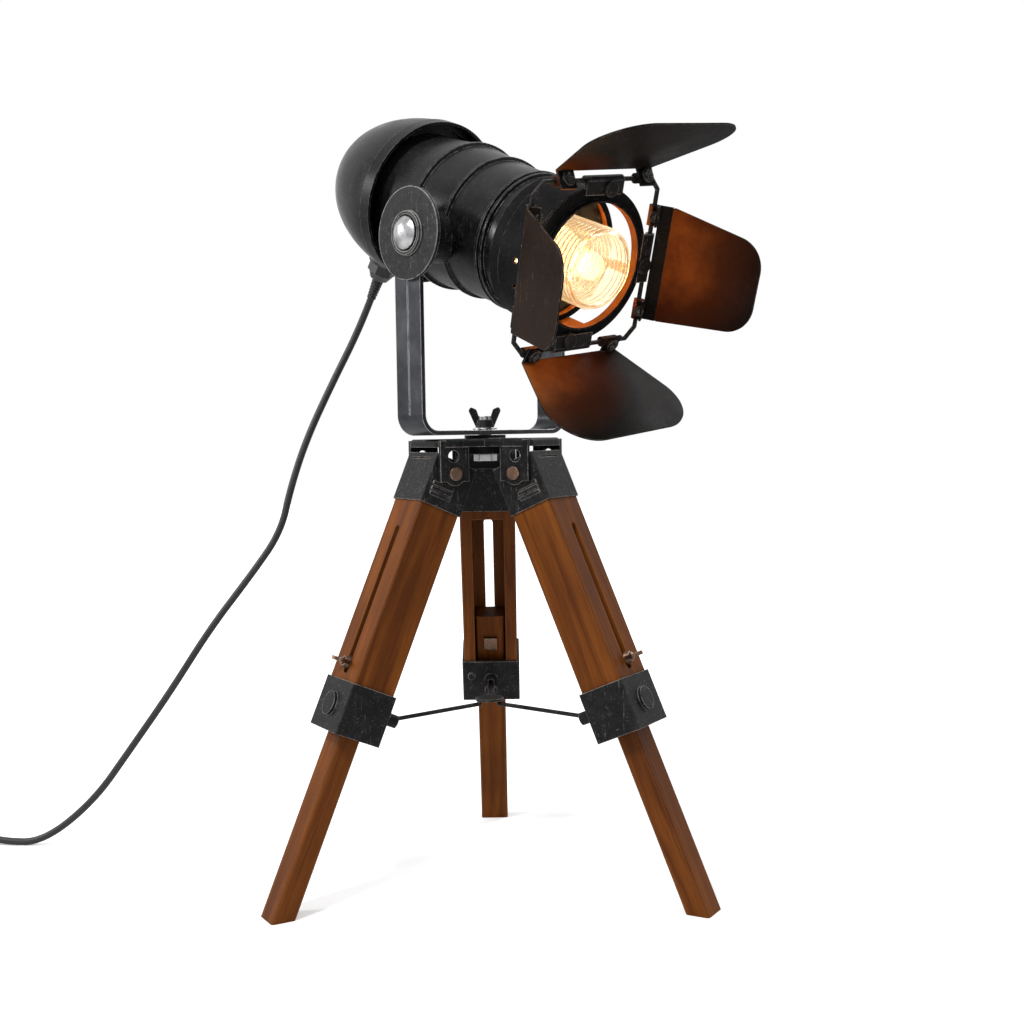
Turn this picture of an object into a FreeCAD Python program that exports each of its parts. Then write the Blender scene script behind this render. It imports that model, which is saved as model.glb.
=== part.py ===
import FreeCAD, Part

import math
import os

# Tabletop searchlight lamp: a tilting black lamp head with four barn doors, in a bent-strap yoke,
# on a wooden tripod with telescopic legs. Millimetres, +Z up.
# Origin: on the table, under the middle of the tripod. The pan axis of the yoke is the Z axis.

V = FreeCAD.Vector
Rot = FreeCAD.Rotation
Place = FreeCAD.Placement
AXIS_X = V(1, 0, 0)
AXIS_Y = V(0, 1, 0)
AXIS_Z = V(0, 0, 1)
ZERO = V(0, 0, 0)

# ---------------------------------------------------------------- clearances
skin_gap = 0.3          # between faces of different moving bodies
pin_gap = 0.05          # radial running fit of a pin or bolt in its hole
seat_sink = 0.2         # how far a piece is run into its carrier before it is trimmed to it
cut_over = 1.0          # how far a cutter runs past the face that it opens

# ---------------------------------------------------------------- pose of the head
pan_angle = -47.0       # from +X towards the front of the lamp
tilt_angle = 21.0       # nose down
ring_roll = 8.0         # the barn-door ring is turned this far round the barrel
pivot_rise = 148.0      # tilt axis above the yoke's underside
yoke_pivot_ahead = 5.0  # tilt axis ahead of the pan axis
pivot_ahead = 10.04     # tilt axis ahead of the barrel's zero station
pivot_drop = 12.21      # tilt axis below the barrel's axis

# ---------------------------------------------------------------- lamp head, stations along the barrel
sheet = 1.2             # spun sheet of dome, barrel and bezel
lip_station = -60.0
lip_radius = 64.4
lip_band = 11.0
lip_step = 1.0
dome_length = 95.0
dome_fullness = 1.6
dome_roundness = 2.9
barrel_rear = -78.0
barrel_neck_radius = 52.5
bead_rise = 1.6
bead_width = 4.0
rib_stations = [-16.7, 18.9, 57.5]
rib_radii = [56.2, 53.0, 51.2]
mouth_station = 82.0
mouth_radius = 50.0
bezel_length = 9.0
bezel_flare = 1.6
bezel_lap = 7.0
holder_plate_station = -52.0
holder_plate_thickness = 2.0
holder_radius = 19.0
holder_length = 44.0
holder_bore = 13.6
bulb_base_radius = 13.3
bulb_base_length = 27.0
bulb_radius = 22.0
bulb_length = 78.0
bulb_wall = 0.8
glass_radius = 29.0
glass_wall = 2.4
glass_rear = 44.0
glass_front = 136.0
glass_shoulder = 4.0      # radius of the glass's front edge
glass_rib_pitch = 4.2
glass_rib_rise = 1.0
glass_rib_width = 2.3
retainer_thickness = 1.6
retainer_vents = 6
retainer_vent_radius = 5.0

# ---------------------------------------------------------------- barn-door ring and hinges
ring_station = 119.5
ring_bore_lap = 4.5         # the ring's bore is this much smaller than the mouth
ring_flange = 6.5           # and its rim this much larger
ring_thickness = 2.4
ring_lip = 4.0
sleeve_thickness = 1.2
sleeve_start = 38.0         # the sleeve runs from here, towards the far side of the top,
sleeve_sweep = 238.0        # this far round by the near side; angles are taken from the top
strap_angle = 100.0         # one narrow strap on the open side
strap_width = 8.0
sleeve_vents = [(-53.0, 103.0, 4.2), (-88.0, 103.0, 2.2), (-108.0, 103.0, 2.2)]   # angle, station, radius
hinge_rod_clear = 4.0       # from the ring's rim to the middle of each hinge rod
hinge_rod_radius = 1.7
hinge_corner = 8.5          # each rod stops this much short of the next rod's line
lug_width = 36.0
lug_thickness = 2.4
lug_wrap = 3.4
rivet_radius = 6.2
rivet_height = 2.6
rivet_side = 5.0            # rivet from the middle of its lug, along the hinge
ear_width = 15.0
ear_radius = 3.8
ear_plate_front = 4.6       # the plate in front of a knuckle: its front face and how far it hangs below the rod
ear_plate_thickness = 1.6
ear_plate_drop = 7.0
ear_screw_radius = 5.2
ear_screw_height = 3.0
door_sheet = 1.2
flap_rise = 6.0             # from hinge axis to the flap's underside
flap_start = 3.0
wide_door_root = 46.0       # half widths and lengths of the two kinds of door
wide_door_tip = 75.0
wide_door_length = 86.0
wide_door_corner = 31.0
slim_door_root = 43.2
slim_door_tip = 32.0
slim_door_length = 78.0
slim_door_corner = 22.0
slim_rise = 1.5             # from hinge axis to the slim door's strip
slim_strip_length = 14.0
slim_strip_half = 43.0
slim_strip_bend = 22.0
slim_screw_radius = 4.0
slim_screw_drop = 2.8       # screw's middle below the hinge axis
door_open = {"top": 32.0, "far": 13.0, "bottom": 21.0, "near": 21.5}
door_shift = {"top": 3.9, "far": 2.5, "bottom": 4.6, "near": 1.9}      # along the hinge
lug_shift = {"top": 3.5, "far": -1.5, "bottom": 5.0, "near": -1.0}
door_turn = {"top": 0.0, "far": -90.0, "bottom": 180.0, "near": 90.0}

# ---------------------------------------------------------------- yoke and tilt pivots
yoke_half = 74.5            # pan axis to the outer face of an arm
yoke_width = 29.0
yoke_sheet = 3.5
yoke_bend = 12.0
yoke_stand = 3.0            # yoke's underside above the casting
yoke_crease = 0.8
disc_radius = 34.0
disc_thickness = 3.0
cup_radius = 16.0
cup_height = 2.5
stud_radius = 5.0
pad_radius = 20.0
nut_radius = 12.0
nut_base = 1.5
nut_dome = 5.0

# ---------------------------------------------------------------- tripod head
leg_bearings = {"left": 210.0, "right": 330.0, "back": 90.0}
splay = 23.3                # leg axis from the vertical
leg_hinge_radius = 41.0
leg_hinge_height = 320.0
casting_rise = 26.0          # top of the casting above the leg hinges
casting_thickness = 6.0
casting_core = 30.0
lobe_reach = 54.0
lobe_width = 56.0
lobe_corner = 9.0
lobe_edge = 2.5             # rounding of the lobes' upper edge
ear_plate = 3.0
ear_half_width = 12.0
ear_drop = 9.0
window_radius = 4.5
hinge_pin_radius = 2.6
hinge_pin_head = 5.0
hinge_pin_head_height = 2.2
center_bolt_radius = 5.0
center_washer_radius = 16.0
nut_washer_radius = 9.5     # flat washer between the yoke and the wing nut
nut_washer_thickness = 1.2
bolt_head_radius = 9.0
bolt_head_height = 5.4
wing_hub_radius = 7.5
wing_hub_height = 6.2
wing_span = 25.0
wing_height = 10.0
wing_thickness = 4.4

# ---------------------------------------------------------------- legs (down = distance below the hinge)
wood_width = 45.0
wood_depth = 34.0
wood_top = -8.0
wood_bottom = 203.0
channel_width = 26.0
channel_floor = 8.2
channel_top = 36.0
slot_width = 7.5
slot_top = 52.0
slot_end_margin = 41.0      # wood below the lower end of the slot
wood_bevel = 1.2
cap_sheet = 1.2
cap_top = -10.0
cap_bottom = 28.0
cap_rib_count = 3
cap_rib_first = 19.5        # lowest rib below the hinge
cap_rib_pitch = 4.0
cap_rib_start = -5.0        # ribs run from here outwards
cap_rib_length = 18.0
cap_rib_rise = 0.7
cap_rib_radius = 1.6
lower_width = 23.6
lower_depth = 17.0
lower_overlap = 71.0        # length of the lower leg inside the wood
slot_bolt_margin = 45.5     # bolt above the end of the wood
slot_bolt_radius = 2.6
slot_bolt_head = 5.5
slot_nut_scale = 0.68
collar_sheet = 1.7
collar_lap = 32.5           # how far the collar reaches up over the wood
collar_below = 6.0          # and below its end
collar_floor = 2.0
collar_disc_radius = 9.0
collar_disc_height = 2.6
collar_screw_radius = 3.2
collar_screw_height = 2.4

# ---------------------------------------------------------------- stays
stay_pivot_up = 15.3        # stay pivot above the end of the wood, along the leg
stay_pivot_inside = 31.8    # and inwards from the leg's middle
stay_radius = 1.6
stay_rise = 2.7             # rods rise this many degrees towards the middle
stay_tip_radius = 8.0
stay_eye_radius = 3.4
stay_eye_width = 4.0
stay_pin_radius = 1.4
stay_boss_radius = 5.4
stay_hub_radius = 11.0
stay_hub_thickness = 2.0

# ---------------------------------------------------------------- mains lead
gland_share = 0.4842        # how far down the dome the gland stands, as a share of its length
gland_tilt = 14.0           # the gland leans back by this much from square to the barrel
gland_neck_radius = 9.0
gland_hex_radius = 12.0
gland_hex_length = 9.0
gland_nut_length = 6.0
gland_root = 5.0            # length of the gland's neck inside the dome
relief_length = 19.0
relief_root_radius = 5.6
cord_diameter = 6.0
cord_clear = 0.3
cord_rest = 3.05            # height of the cord's middle where it lies on the table
cord_high = 9.0             # height at which it enters the switch, the coil and the plug
cord_exit_run = 30.0        # straight run out of the strain relief
# route from there down to the table and out to the switch
cord_route = [
    (-133.0, 114.0, 393.0), (-155.0, 111.0, 347.0), (-169.0, 108.0, 306.0), (-178.0, 106.0, 268.0),
    (-205.0, 105.0, 231.0), (-240.0, 104.0, 187.0), (-276.0, 104.0, 132.5), (-312.0, 104.5, 83.0),
    (-345.0, 104.0, 38.0), (-390.0, 105.0, cord_rest), (-424.0, 107.0, cord_rest),
    (-448.0, 110.0, cord_high), (-470.0, 110.0, cord_high),
]
switch_length = 54.0
switch_width = 26.0
switch_height = 18.0
switch_nose = 5.0
rocker_length = 18.0
rocker_width = 11.0
rocker_proud = 2.6
rocker_pin_radius = 1.2
rocker_pin_depth = 2.8      # below the case's top
coil_turn_radius = 33.0     # middle of the coil's turns
coil_turns_wide = 3
coil_turns_high = 2
coil_lead = 34.0            # straight lead between the coil and the switch, and between coil and plug
plug_length = 30.0
plug_taper = 12.0
plug_width = 26.0
plug_height = 18.0
plug_blade_length = 17.0
plug_blade_width = 6.4
plug_blade_thickness = 1.5
plug_blade_half_pitch = 6.35


# ---------------------------------------------------------------- places that follow from the sizes above
casting_top = leg_hinge_height + casting_rise
yoke_bottom = casting_top + yoke_stand
pivot_height = yoke_bottom + pivot_rise
slot_bottom = wood_bottom - slot_end_margin
slot_bolt_down = wood_bottom - slot_bolt_margin
lower_top = wood_bottom - lower_overlap
collar_top = wood_bottom - collar_lap
collar_bottom = wood_bottom + collar_below
stay_pivot_down = wood_bottom - stay_pivot_up
ring_inner = mouth_radius - ring_bore_lap
ring_outer = mouth_radius + ring_flange
hinge_rod_offset = ring_outer + hinge_rod_clear
hinge_rod_half = hinge_rod_offset - hinge_corner
gland_station = lip_station - gland_share * dome_length


# ---------------------------------------------------------------- helpers
def export(node, *solids):
    """Write one node; several separate pieces of one node make a compound."""
    shape = solids[0] if len(solids) == 1 else Part.makeCompound(list(solids))
    shape.exportStep("parts/" + node + ".step")
    print(node, "solids", len(shape.Solids), "volume", round(shape.Volume, 1))


def placed(shape, placement):
    copy = shape.copy()
    copy.Placement = placement.multiply(copy.Placement)
    return copy


def box(x0, x1, y0, y1, z0, z1):
    return Part.makeBox(x1 - x0, y1 - y0, z1 - z0, V(x0, y0, z0))


def rod(start, end, radius):
    start = V(*start)
    along = V(*end) - start
    return Part.makeCylinder(radius, along.Length, start, along)


def fused(first, *others):
    return first.fuse(list(others)).removeSplitter()


def revolved_x(points):
    """Turn a closed outline of (station, radius) points round the X axis."""
    outline = Part.makePolygon([V(x, 0, r) for x, r in points + points[:1]])
    return Part.Face(outline).revolve(ZERO, AXIS_X, 360)


def rounded_plate(corners, radii, thickness):
    """A flat plate in XY from its corner points, each rounded with its own radius."""
    edges = []
    last = None
    first = None
    count = len(corners)
    for i in range(count):
        corner = V(*corners[i], 0)
        before = (V(*corners[i - 1], 0) - corner).normalize()
        after = (V(*corners[(i + 1) % count], 0) - corner).normalize()
        if radii[i] > 0:
            half = before.getAngle(after) / 2
            reach = radii[i] / math.tan(half)
            start = corner + before * reach
            end = corner + after * reach
            middle_way = (before + after).normalize()
            middle = corner + middle_way * (radii[i] / math.sin(half) - radii[i])
            if last is not None:
                edges.append(Part.makeLine(last, start))
            edges.append(Part.Arc(start, middle, end).toShape())
        else:
            start = corner
            end = corner
            if last is not None:
                edges.append(Part.makeLine(last, start))
        if first is None:
            first = start
        last = end
    edges.append(Part.makeLine(last, first))
    return Part.Face(Part.Wire(edges)).extrude(V(0, 0, thickness))


def bevelled_bar(x0, x1, y0, y1, z0, z1, bevel):
    """A bar along Z whose four long edges are bevelled."""
    bar = box(x0, x1, y0, y1, z0, z1)
    long_edges = [e for e in bar.Edges if abs(e.Vertexes[0].Z - e.Vertexes[-1].Z) > 1.0]
    return bar.makeChamfer(bevel, long_edges)


def seated(piece, *carriers):
    """The piece with everything cut away that its carriers fill, so that it lies face to face with them."""
    return piece.cut(list(carriers))


def six_sided(radius, length):
    points = [V(radius * math.cos(math.radians(60 * i)), radius * math.sin(math.radians(60 * i)), 0)
              for i in range(6)]
    return Part.Face(Part.makePolygon(points + points[:1])).extrude(V(0, 0, length))


# ---------------------------------------------------------------- frames of the moving groups
yoke_frame = Place(ZERO, Rot(AXIS_Z, pan_angle))
head_frame = (yoke_frame * Place(V(yoke_pivot_ahead, 0, pivot_height), Rot(AXIS_Y, tilt_angle))
              * Place(V(-pivot_ahead, 0, pivot_drop), Rot()))
ring_frame = head_frame * Place(ZERO, Rot(AXIS_X, ring_roll))


def door_frame(name):
    """Hinge axis along Y, the flap running along X, away from the barrel."""
    around = Place(ZERO, Rot(AXIS_X, door_turn[name]))
    hinge = Place(V(ring_station, door_shift[name], hinge_rod_offset), Rot(AXIS_Y, -door_open[name]))
    return ring_frame * around * hinge


def leg_frame(bearing):
    """Origin on the leg's hinge, Z up along the leg, X outwards, Y along the hinge pin."""
    swing = Rot(AXIS_Z, bearing) * Rot(AXIS_Y, -splay)
    out = V(leg_hinge_radius * math.cos(math.radians(bearing)),
            leg_hinge_radius * math.sin(math.radians(bearing)), leg_hinge_height)
    return Place(out, swing)


# ---------------------------------------------------------------- lamp head
def dome_radius(depth, radius, length):
    """Radius of the dome at a depth behind its lip band."""
    return radius * (1 - (depth / length) ** dome_fullness) ** (1 / dome_roundness)


def dome_curve(start, radius, length):
    """Spline of the dome from its band to its closed end, in (station, radius)."""
    shares = [0.0, 0.15, 0.32, 0.5, 0.66, 0.8, 0.9, 0.96, 0.99, 1.0]
    points = [V(start - length * s, 0, dome_radius(length * s, radius, length)) for s in shares]
    curve = Part.BSplineCurve()
    curve.interpolate(points)
    return curve.toShape(), points[0], points[-1]


def rear_dome_core():
    """The room inside the dome, as a solid in the world frame, used to trim the gland's neck."""
    band_end = lip_station - lip_band
    inner, front, back = dome_curve(band_end, lip_radius - lip_step - sheet - gland_root, dome_length - lip_band - 8.0)
    edges = [inner, Part.makeLine(back, V(front.x, 0, 0)), Part.makeLine(V(front.x, 0, 0), front)]
    return placed(Part.Face(Part.Wire(Part.__sortEdges__(edges))).revolve(ZERO, AXIS_X, 360), head_frame)


def rear_dome():
    """Spun dome behind the barrel, with a stepped band at its open rim."""
    band_end = lip_station - lip_band
    body = dome_length - lip_band
    outer, outer_front, outer_back = dome_curve(band_end, lip_radius - lip_step, body)
    inner, inner_front, inner_back = dome_curve(band_end, lip_radius - lip_step - sheet, body - sheet)
    lip_in = V(lip_station, 0, lip_radius - lip_step - sheet)
    corners = [outer_front, V(band_end, 0, lip_radius), V(lip_station, 0, lip_radius), lip_in, inner_front]
    rim = [Part.makeLine(p, q) for p, q in zip(corners, corners[1:])]
    end = Part.makeLine(inner_back, outer_back)
    shell = Part.Face(Part.Wire(Part.__sortEdges__([outer, inner, end] + rim)))
    dome = placed(shell.revolve(ZERO, AXIS_X, 360), head_frame)
    return dome.cut(gland_hole(0.0))


def bead(station, radius):
    """Outline points of a rolled bead that stands on the barrel's skin."""
    half = bead_width / 2
    return [(station - half, radius), (station - half * 0.55, radius + bead_rise),
            (station + half * 0.55, radius + bead_rise), (station + half, radius - 0.9)]


def barrel_outline():
    """Outer points of the barrel from its rear flange to its mouth, with the beads."""
    flange_radius = lip_radius - lip_step - sheet - 3.2
    outer = [(barrel_rear, flange_radius), (barrel_rear + 1.5, flange_radius),
             (barrel_rear + 1.5, barrel_neck_radius), (lip_station, barrel_neck_radius)]
    for station, radius in zip(rib_stations, rib_radii):
        outer += bead(station, radius)
    second = rib_stations[-1] + bead_width * 1.1
    outer += bead(second, rib_radii[-1] - 0.6)
    return outer + [(mouth_station, mouth_radius)]


def barrel_core():
    """Everything inside the barrel's outer skin."""
    return revolved_x(barrel_outline() + [(mouth_station, 0), (barrel_rear, 0)])


def barrel_shell():
    inner = [(mouth_station, mouth_radius - sheet), (rib_stations[2], rib_radii[2] - 0.9 - sheet),
             (rib_stations[1], rib_radii[1] - 0.9 - sheet), (rib_stations[0], rib_radii[0] - 0.9 - sheet),
             (lip_station, barrel_neck_radius - sheet), (barrel_rear, barrel_neck_radius - sheet)]
    shell = revolved_x(barrel_outline() + inner)
    flange_radius = lip_radius - lip_step - sheet - 4.2
    seat_ring = revolved_x([(barrel_rear, flange_radius), (barrel_rear, seat_radius(0.0)),
                            (barrel_rear + 6.0, seat_radius(6.0)), (barrel_rear + 6.0, flange_radius)])
    return placed(fused(shell, seat_ring), head_frame)


def seat_radius(ahead):
    """Inner radius of the dome where the barrel's rear flange touches it."""
    depth = lip_station - lip_band - (barrel_rear + ahead)
    if depth <= 0:
        return lip_radius - lip_step - sheet - pin_gap
    return dome_radius(depth, lip_radius - lip_step - sheet, dome_length - lip_band - sheet) - pin_gap


def front_bezel():
    front = mouth_station + bezel_length
    lap = mouth_station - bezel_lap
    outer = [(lap, mouth_radius + 2.2 + sheet), (mouth_station + 2.0, mouth_radius + 2.0 + sheet),
             (front - 2.0, mouth_radius + bezel_flare + sheet), (front, mouth_radius + bezel_flare + sheet)]
    inner = [(front, mouth_radius - 2.0), (front - sheet, mouth_radius - 2.0),
             (front - sheet, mouth_radius + bezel_flare), (mouth_station + 0.2, mouth_radius + 1.0),
             (mouth_station + 0.2, mouth_radius - seat_sink), (lap, mouth_radius - seat_sink)]
    return placed(revolved_x(outer + inner), head_frame)


def lamp_holder():
    back = holder_plate_station
    wall = barrel_neck_radius - sheet
    plate = revolved_x([(back, holder_bore), (back, wall + 0.2),
                        (back + holder_plate_thickness, wall + 0.2), (back + holder_plate_thickness, holder_bore)])
    front = back + holder_length
    shell = revolved_x([(back, holder_bore), (back, holder_radius), (front, holder_radius),
                        (front, holder_bore)])
    floor = revolved_x([(back, 0), (back, holder_bore + 1.0), (back + 8.0, holder_bore + 1.0), (back + 8.0, 0)])
    skirt = revolved_x([(back + 14.0, holder_radius - 0.5), (back + 14.0, holder_radius + 3.0),
                        (back + 20.0, holder_radius + 3.0), (back + 20.0, holder_radius - 0.5)])
    vents = [placed(rod((back - 1, 0, 35), (back + 5, 0, 35), 6.0), Place(ZERO, Rot(AXIS_X, 60 * i)))
             for i in range(6)]
    return placed(fused(shell, plate, floor, skirt).cut(Part.makeCompound(vents)), head_frame)


def bulb_base():
    back = holder_plate_station + 8.0
    points = [(back, 0), (back, 5.0), (back + 3.0, bulb_base_radius - 2.0)]
    turn = back + 3.0
    while turn < back + bulb_base_length - 4.0:
        points += [(turn + 1.0, bulb_base_radius), (turn + 2.2, bulb_base_radius),
                   (turn + 3.4, bulb_base_radius - 1.0)]
        turn += 3.6
    points += [(back + bulb_base_length, bulb_base_radius - 1.0), (back + bulb_base_length, 0)]
    return placed(revolved_x(points), head_frame)


def bulb_envelope():
    back = holder_plate_station + 8.0 + bulb_base_length
    tip = back + bulb_length
    neck = bulb_base_radius - 0.6
    belly = tip - bulb_radius
    outer = Part.BSplineCurve()
    outer.interpolate([V(back - 2.0, 0, neck), V(back + 12.0, 0, neck + 1.0), V(belly - 16.0, 0, bulb_radius - 3.4),
                       V(belly, 0, bulb_radius), V(belly + bulb_radius * 0.7, 0, bulb_radius * 0.72),
                       V(tip, 0, 0)])
    edges = [outer.toShape(), Part.makeLine(V(tip, 0, 0), V(back - 2.0, 0, 0)),
             Part.makeLine(V(back - 2.0, 0, 0), V(back - 2.0, 0, neck))]
    solid = Part.Face(Part.Wire(Part.__sortEdges__(edges))).revolve(ZERO, AXIS_X, 360)
    core = revolved_x([(back + 4.0, 0), (back + 4.0, neck - 2.5), (belly, bulb_radius - 7.0),
                       (tip - 8.0, bulb_radius * 0.45), (tip - 5.0, 0)])
    return placed(solid.cut(core), head_frame)


def ribbed_glass():
    """A jar-shaped glass, open at the rear, with rings all along it and a rounded end."""
    shoulder = glass_front - glass_shoulder
    points = [(glass_rear, glass_radius - glass_wall), (glass_rear, glass_radius + 3.0),
              (glass_rear + 3.0, glass_radius + 3.0), (glass_rear + 3.0, glass_radius)]
    ring = glass_rear + 9.0
    while ring + glass_rib_width < shoulder:
        points += [(ring, glass_radius), (ring + glass_rib_width * 0.25, glass_radius + glass_rib_rise),
                   (ring + glass_rib_width * 0.75, glass_radius + glass_rib_rise),
                   (ring + glass_rib_width, glass_radius)]
        ring += glass_rib_pitch
    for radius, ends in ((glass_shoulder, (0, 90)), (glass_shoulder - glass_wall, (90, 0))):
        arc = []
        for step in range(0, 91, 15):
            angle = math.radians(step)
            arc.append((shoulder + radius * math.sin(angle), glass_radius - glass_shoulder + radius * math.cos(angle)))
        points += arc if ends == (0, 90) else [(glass_front - glass_wall, 0)] + arc[::-1]
        if ends == (0, 90):
            points.append((glass_front, 0))
    return placed(revolved_x(points), head_frame)


def glass_retainer():
    """An annular plate across the barrel that carries the glass by its rim, with a short outer flange."""
    back = glass_rear - retainer_thickness + 0.1
    share = (back - rib_stations[1]) / (rib_stations[2] - rib_stations[1])
    wall = rib_radii[1] + (rib_radii[2] - rib_radii[1]) * share - 0.9 - sheet + 0.2
    plate = revolved_x([(back, glass_radius - glass_wall - 4.0), (back, wall),
                        (back + retainer_thickness, wall),
                        (back + retainer_thickness, glass_radius - glass_wall - 4.0)])
    clips = []
    for i in range(3):
        reach = glass_radius + 3.1
        arm = box(back, back + 6.0, -4.0, 4.0, reach, reach + 1.4)
        hook = box(back + 4.9, back + 6.3, -4.0, 4.0, reach - 2.0, reach + 1.4)
        clips.append(placed(fused(arm, hook), Place(ZERO, Rot(AXIS_X, 120 * i + 30))))
    vents = [placed(rod((back - 1, 0, wall - 6.6), (back + 3, 0, wall - 6.6), retainer_vent_radius),
                    Place(ZERO, Rot(AXIS_X, 360 / retainer_vents * i))) for i in range(retainer_vents)]
    return placed(fused(plate, *clips).cut(Part.makeCompound(vents)), head_frame)


def pivot_points():
    """Local head coordinates of the tilt axis."""
    return pivot_ahead, -pivot_drop


def pivot_pads_and_studs():
    """Round pads on the barrel's sides and the threaded studs that stand on them."""
    x, z = pivot_points()
    pads = []
    studs = []
    inner_face = yoke_half - yoke_sheet - skin_gap
    stud_end = yoke_half + disc_thickness + cup_height + nut_base + 1.0
    core = barrel_core()
    for side in (-1, 1):
        pad = rod((x, side * 30.0, z), (x, side * inner_face, z), pad_radius)
        pads.append(placed(pad.cut(core), head_frame))
        studs.append(placed(rod((x, side * (inner_face - 6.0), z), (x, side * stud_end, z), stud_radius), head_frame))
    return pads, studs


def gland_seat():
    """Distance of the dome's skin from the barrel's axis at the gland."""
    body = dome_length - lip_band
    return dome_radius(lip_station - lip_band - gland_station, lip_radius - lip_step, body)


def gland_frame():
    """Origin on the dome's skin under the gland, Z pointing out of the dome's underside and a little back."""
    return head_frame * Place(V(gland_station, 0, -gland_seat()), Rot(AXIS_X, 180.0) * Rot(AXIS_Y, -gland_tilt))


def gland_hole(clearance):
    """Cutter for the gland's neck in the dome."""
    return placed(rod((0, 0, -gland_root * 4), (0, 0, gland_root * 4), gland_neck_radius + clearance), gland_frame())


def cable_gland():
    neck = rod((0, 0, -gland_root), (0, 0, gland_root), gland_neck_radius)
    collar_ring = rod((0, 0, 1.0), (0, 0, 4.0), gland_hex_radius + 1.5)
    hexagon = placed(six_sided(gland_hex_radius, gland_hex_length), Place(V(0, 0, 3.5), Rot()))
    nut = Part.makeCone(gland_hex_radius - 1.4, relief_root_radius + 2.0, gland_nut_length,
                        V(0, 0, 3.5 + gland_hex_length))
    way = rod((0, 0, -gland_root - cut_over), (0, 0, relief_ends()[1]), relief_root_radius)
    bite = placed(rear_dome_core(), gland_frame().inverse())
    return placed(fused(neck, collar_ring, hexagon, nut).cut(way).cut(bite), gland_frame())


def relief_ends():
    start = 2.0
    return start, 3.5 + gland_hex_length + gland_nut_length + relief_length


def strain_relief():
    start, end = relief_ends()
    root_end = 3.5 + gland_hex_length
    root = rod((0, 0, start), (0, 0, root_end), relief_root_radius)
    cone = Part.makeCone(relief_root_radius, cord_diameter / 2 + 0.7, end - root_end, V(0, 0, root_end))
    return placed(fused(root, cone), gland_frame())


# ---------------------------------------------------------------- barn-door ring
def door_ring():
    back = ring_station - ring_thickness / 2
    front = ring_station + ring_thickness / 2
    points = [(back, ring_inner), (back, ring_outer), (front, ring_outer), (front, ring_inner + 1.6),
              (front + ring_lip, ring_inner + 1.2), (front + ring_lip, ring_inner)]
    return placed(revolved_x(points), ring_frame)


def ring_standoffs():
    """A vented sleeve from the bezel's rim to the back of the ring, open on one side, and a strap there."""
    root = mouth_station + bezel_length - 6.0
    rim = mouth_radius + bezel_flare + sheet
    back = ring_station - ring_thickness / 2
    low = rim - 0.6
    high = rim + sleeve_thickness
    outline = [V(root, 0, low), V(back + seat_sink, 0, low), V(back + seat_sink, 0, high), V(root, 0, high)]
    wall = Part.Face(Part.makePolygon(outline + outline[:1])).revolve(ZERO, AXIS_X, sleeve_sweep)
    sleeve = placed(wall, Place(ZERO, Rot(AXIS_X, -sleeve_start)))
    for angle, station, radius in sleeve_vents:
        vent = rod((station, 0, low - cut_over), (station, 0, high + cut_over), radius)
        sleeve = sleeve.cut(placed(vent, Place(ZERO, Rot(AXIS_X, -angle))))
    half = strap_width / 2
    strap = box(root, back + seat_sink, -half, half, low, high)
    foot = box(back - sleeve_thickness, back + seat_sink, -half, half, ring_inner + 2.0, high)
    strap = placed(fused(strap, foot), Place(ZERO, Rot(AXIS_X, -strap_angle)))
    return [placed(sleeve, ring_frame), placed(strap, ring_frame)]


def hinge_frame():
    """Four hinge rods tangent to the ring, joined by short rods across the corners."""
    pieces = []
    for i in range(4):
        turn = Place(ZERO, Rot(AXIS_X, 90 * i))
        x = ring_station
        straight = rod((x, -hinge_rod_half, hinge_rod_offset), (x, hinge_rod_half, hinge_rod_offset), hinge_rod_radius)
        corner = rod((x, hinge_rod_half, hinge_rod_offset), (x, hinge_rod_offset, hinge_rod_half), hinge_rod_radius)
        ball = Part.makeSphere(hinge_rod_radius, V(x, hinge_rod_half, hinge_rod_offset))
        other = Part.makeSphere(hinge_rod_radius, V(x, -hinge_rod_half, hinge_rod_offset))
        pieces += [placed(p, turn) for p in (straight, corner, ball, other)]
    return placed(fused(*pieces), ring_frame)


def hinge_lugs():
    """A plate near the middle of each hinge rod that ties it to the ring."""
    pieces = []
    half = lug_width / 2
    x = ring_station
    for name, turn in door_turn.items():
        low = lug_shift[name] - half
        high = lug_shift[name] + half
        plate = box(x + ring_thickness / 2 - seat_sink, x + ring_thickness / 2 + lug_thickness, low, high,
                    ring_inner + 5.0, hinge_rod_offset)
        wrap = rod((x, low, hinge_rod_offset), (x, high, hinge_rod_offset), lug_wrap)
        bore = rod((x, low - 1, hinge_rod_offset), (x, high + 1, hinge_rod_offset), hinge_rod_radius)
        pieces.append(placed(fused(plate, wrap).cut(bore), ring_frame * Place(ZERO, Rot(AXIS_X, turn))))
    return pieces


def lug_rivets():
    """A round rivet on the front of each lug."""
    pieces = []
    face = ring_station + ring_thickness / 2 + lug_thickness
    height = (ring_inner + hinge_rod_offset) / 2 + 2.0
    for name, turn in door_turn.items():
        side = lug_shift[name] + rivet_side
        head = Part.makeCylinder(rivet_radius, rivet_height, V(face - seat_sink, side, height), AXIS_X)
        head = head.makeFillet(0.8, [e for e in head.Edges if abs(e.CenterOfMass.x - face - rivet_height) < 1.0
                                     and e.Length > 10])
        pieces.append(placed(head, ring_frame * Place(ZERO, Rot(AXIS_X, turn))))
    return pieces


def flap_outline(root, tip, length, corner):
    """Plan of a flap: root edge at zero, tip edge at its length, both centred on the hinge's middle."""
    corners = [(0, -root), (length, -tip), (length, tip), (0, root)]
    return corners, [2.0, corner, corner, 2.0]


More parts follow.
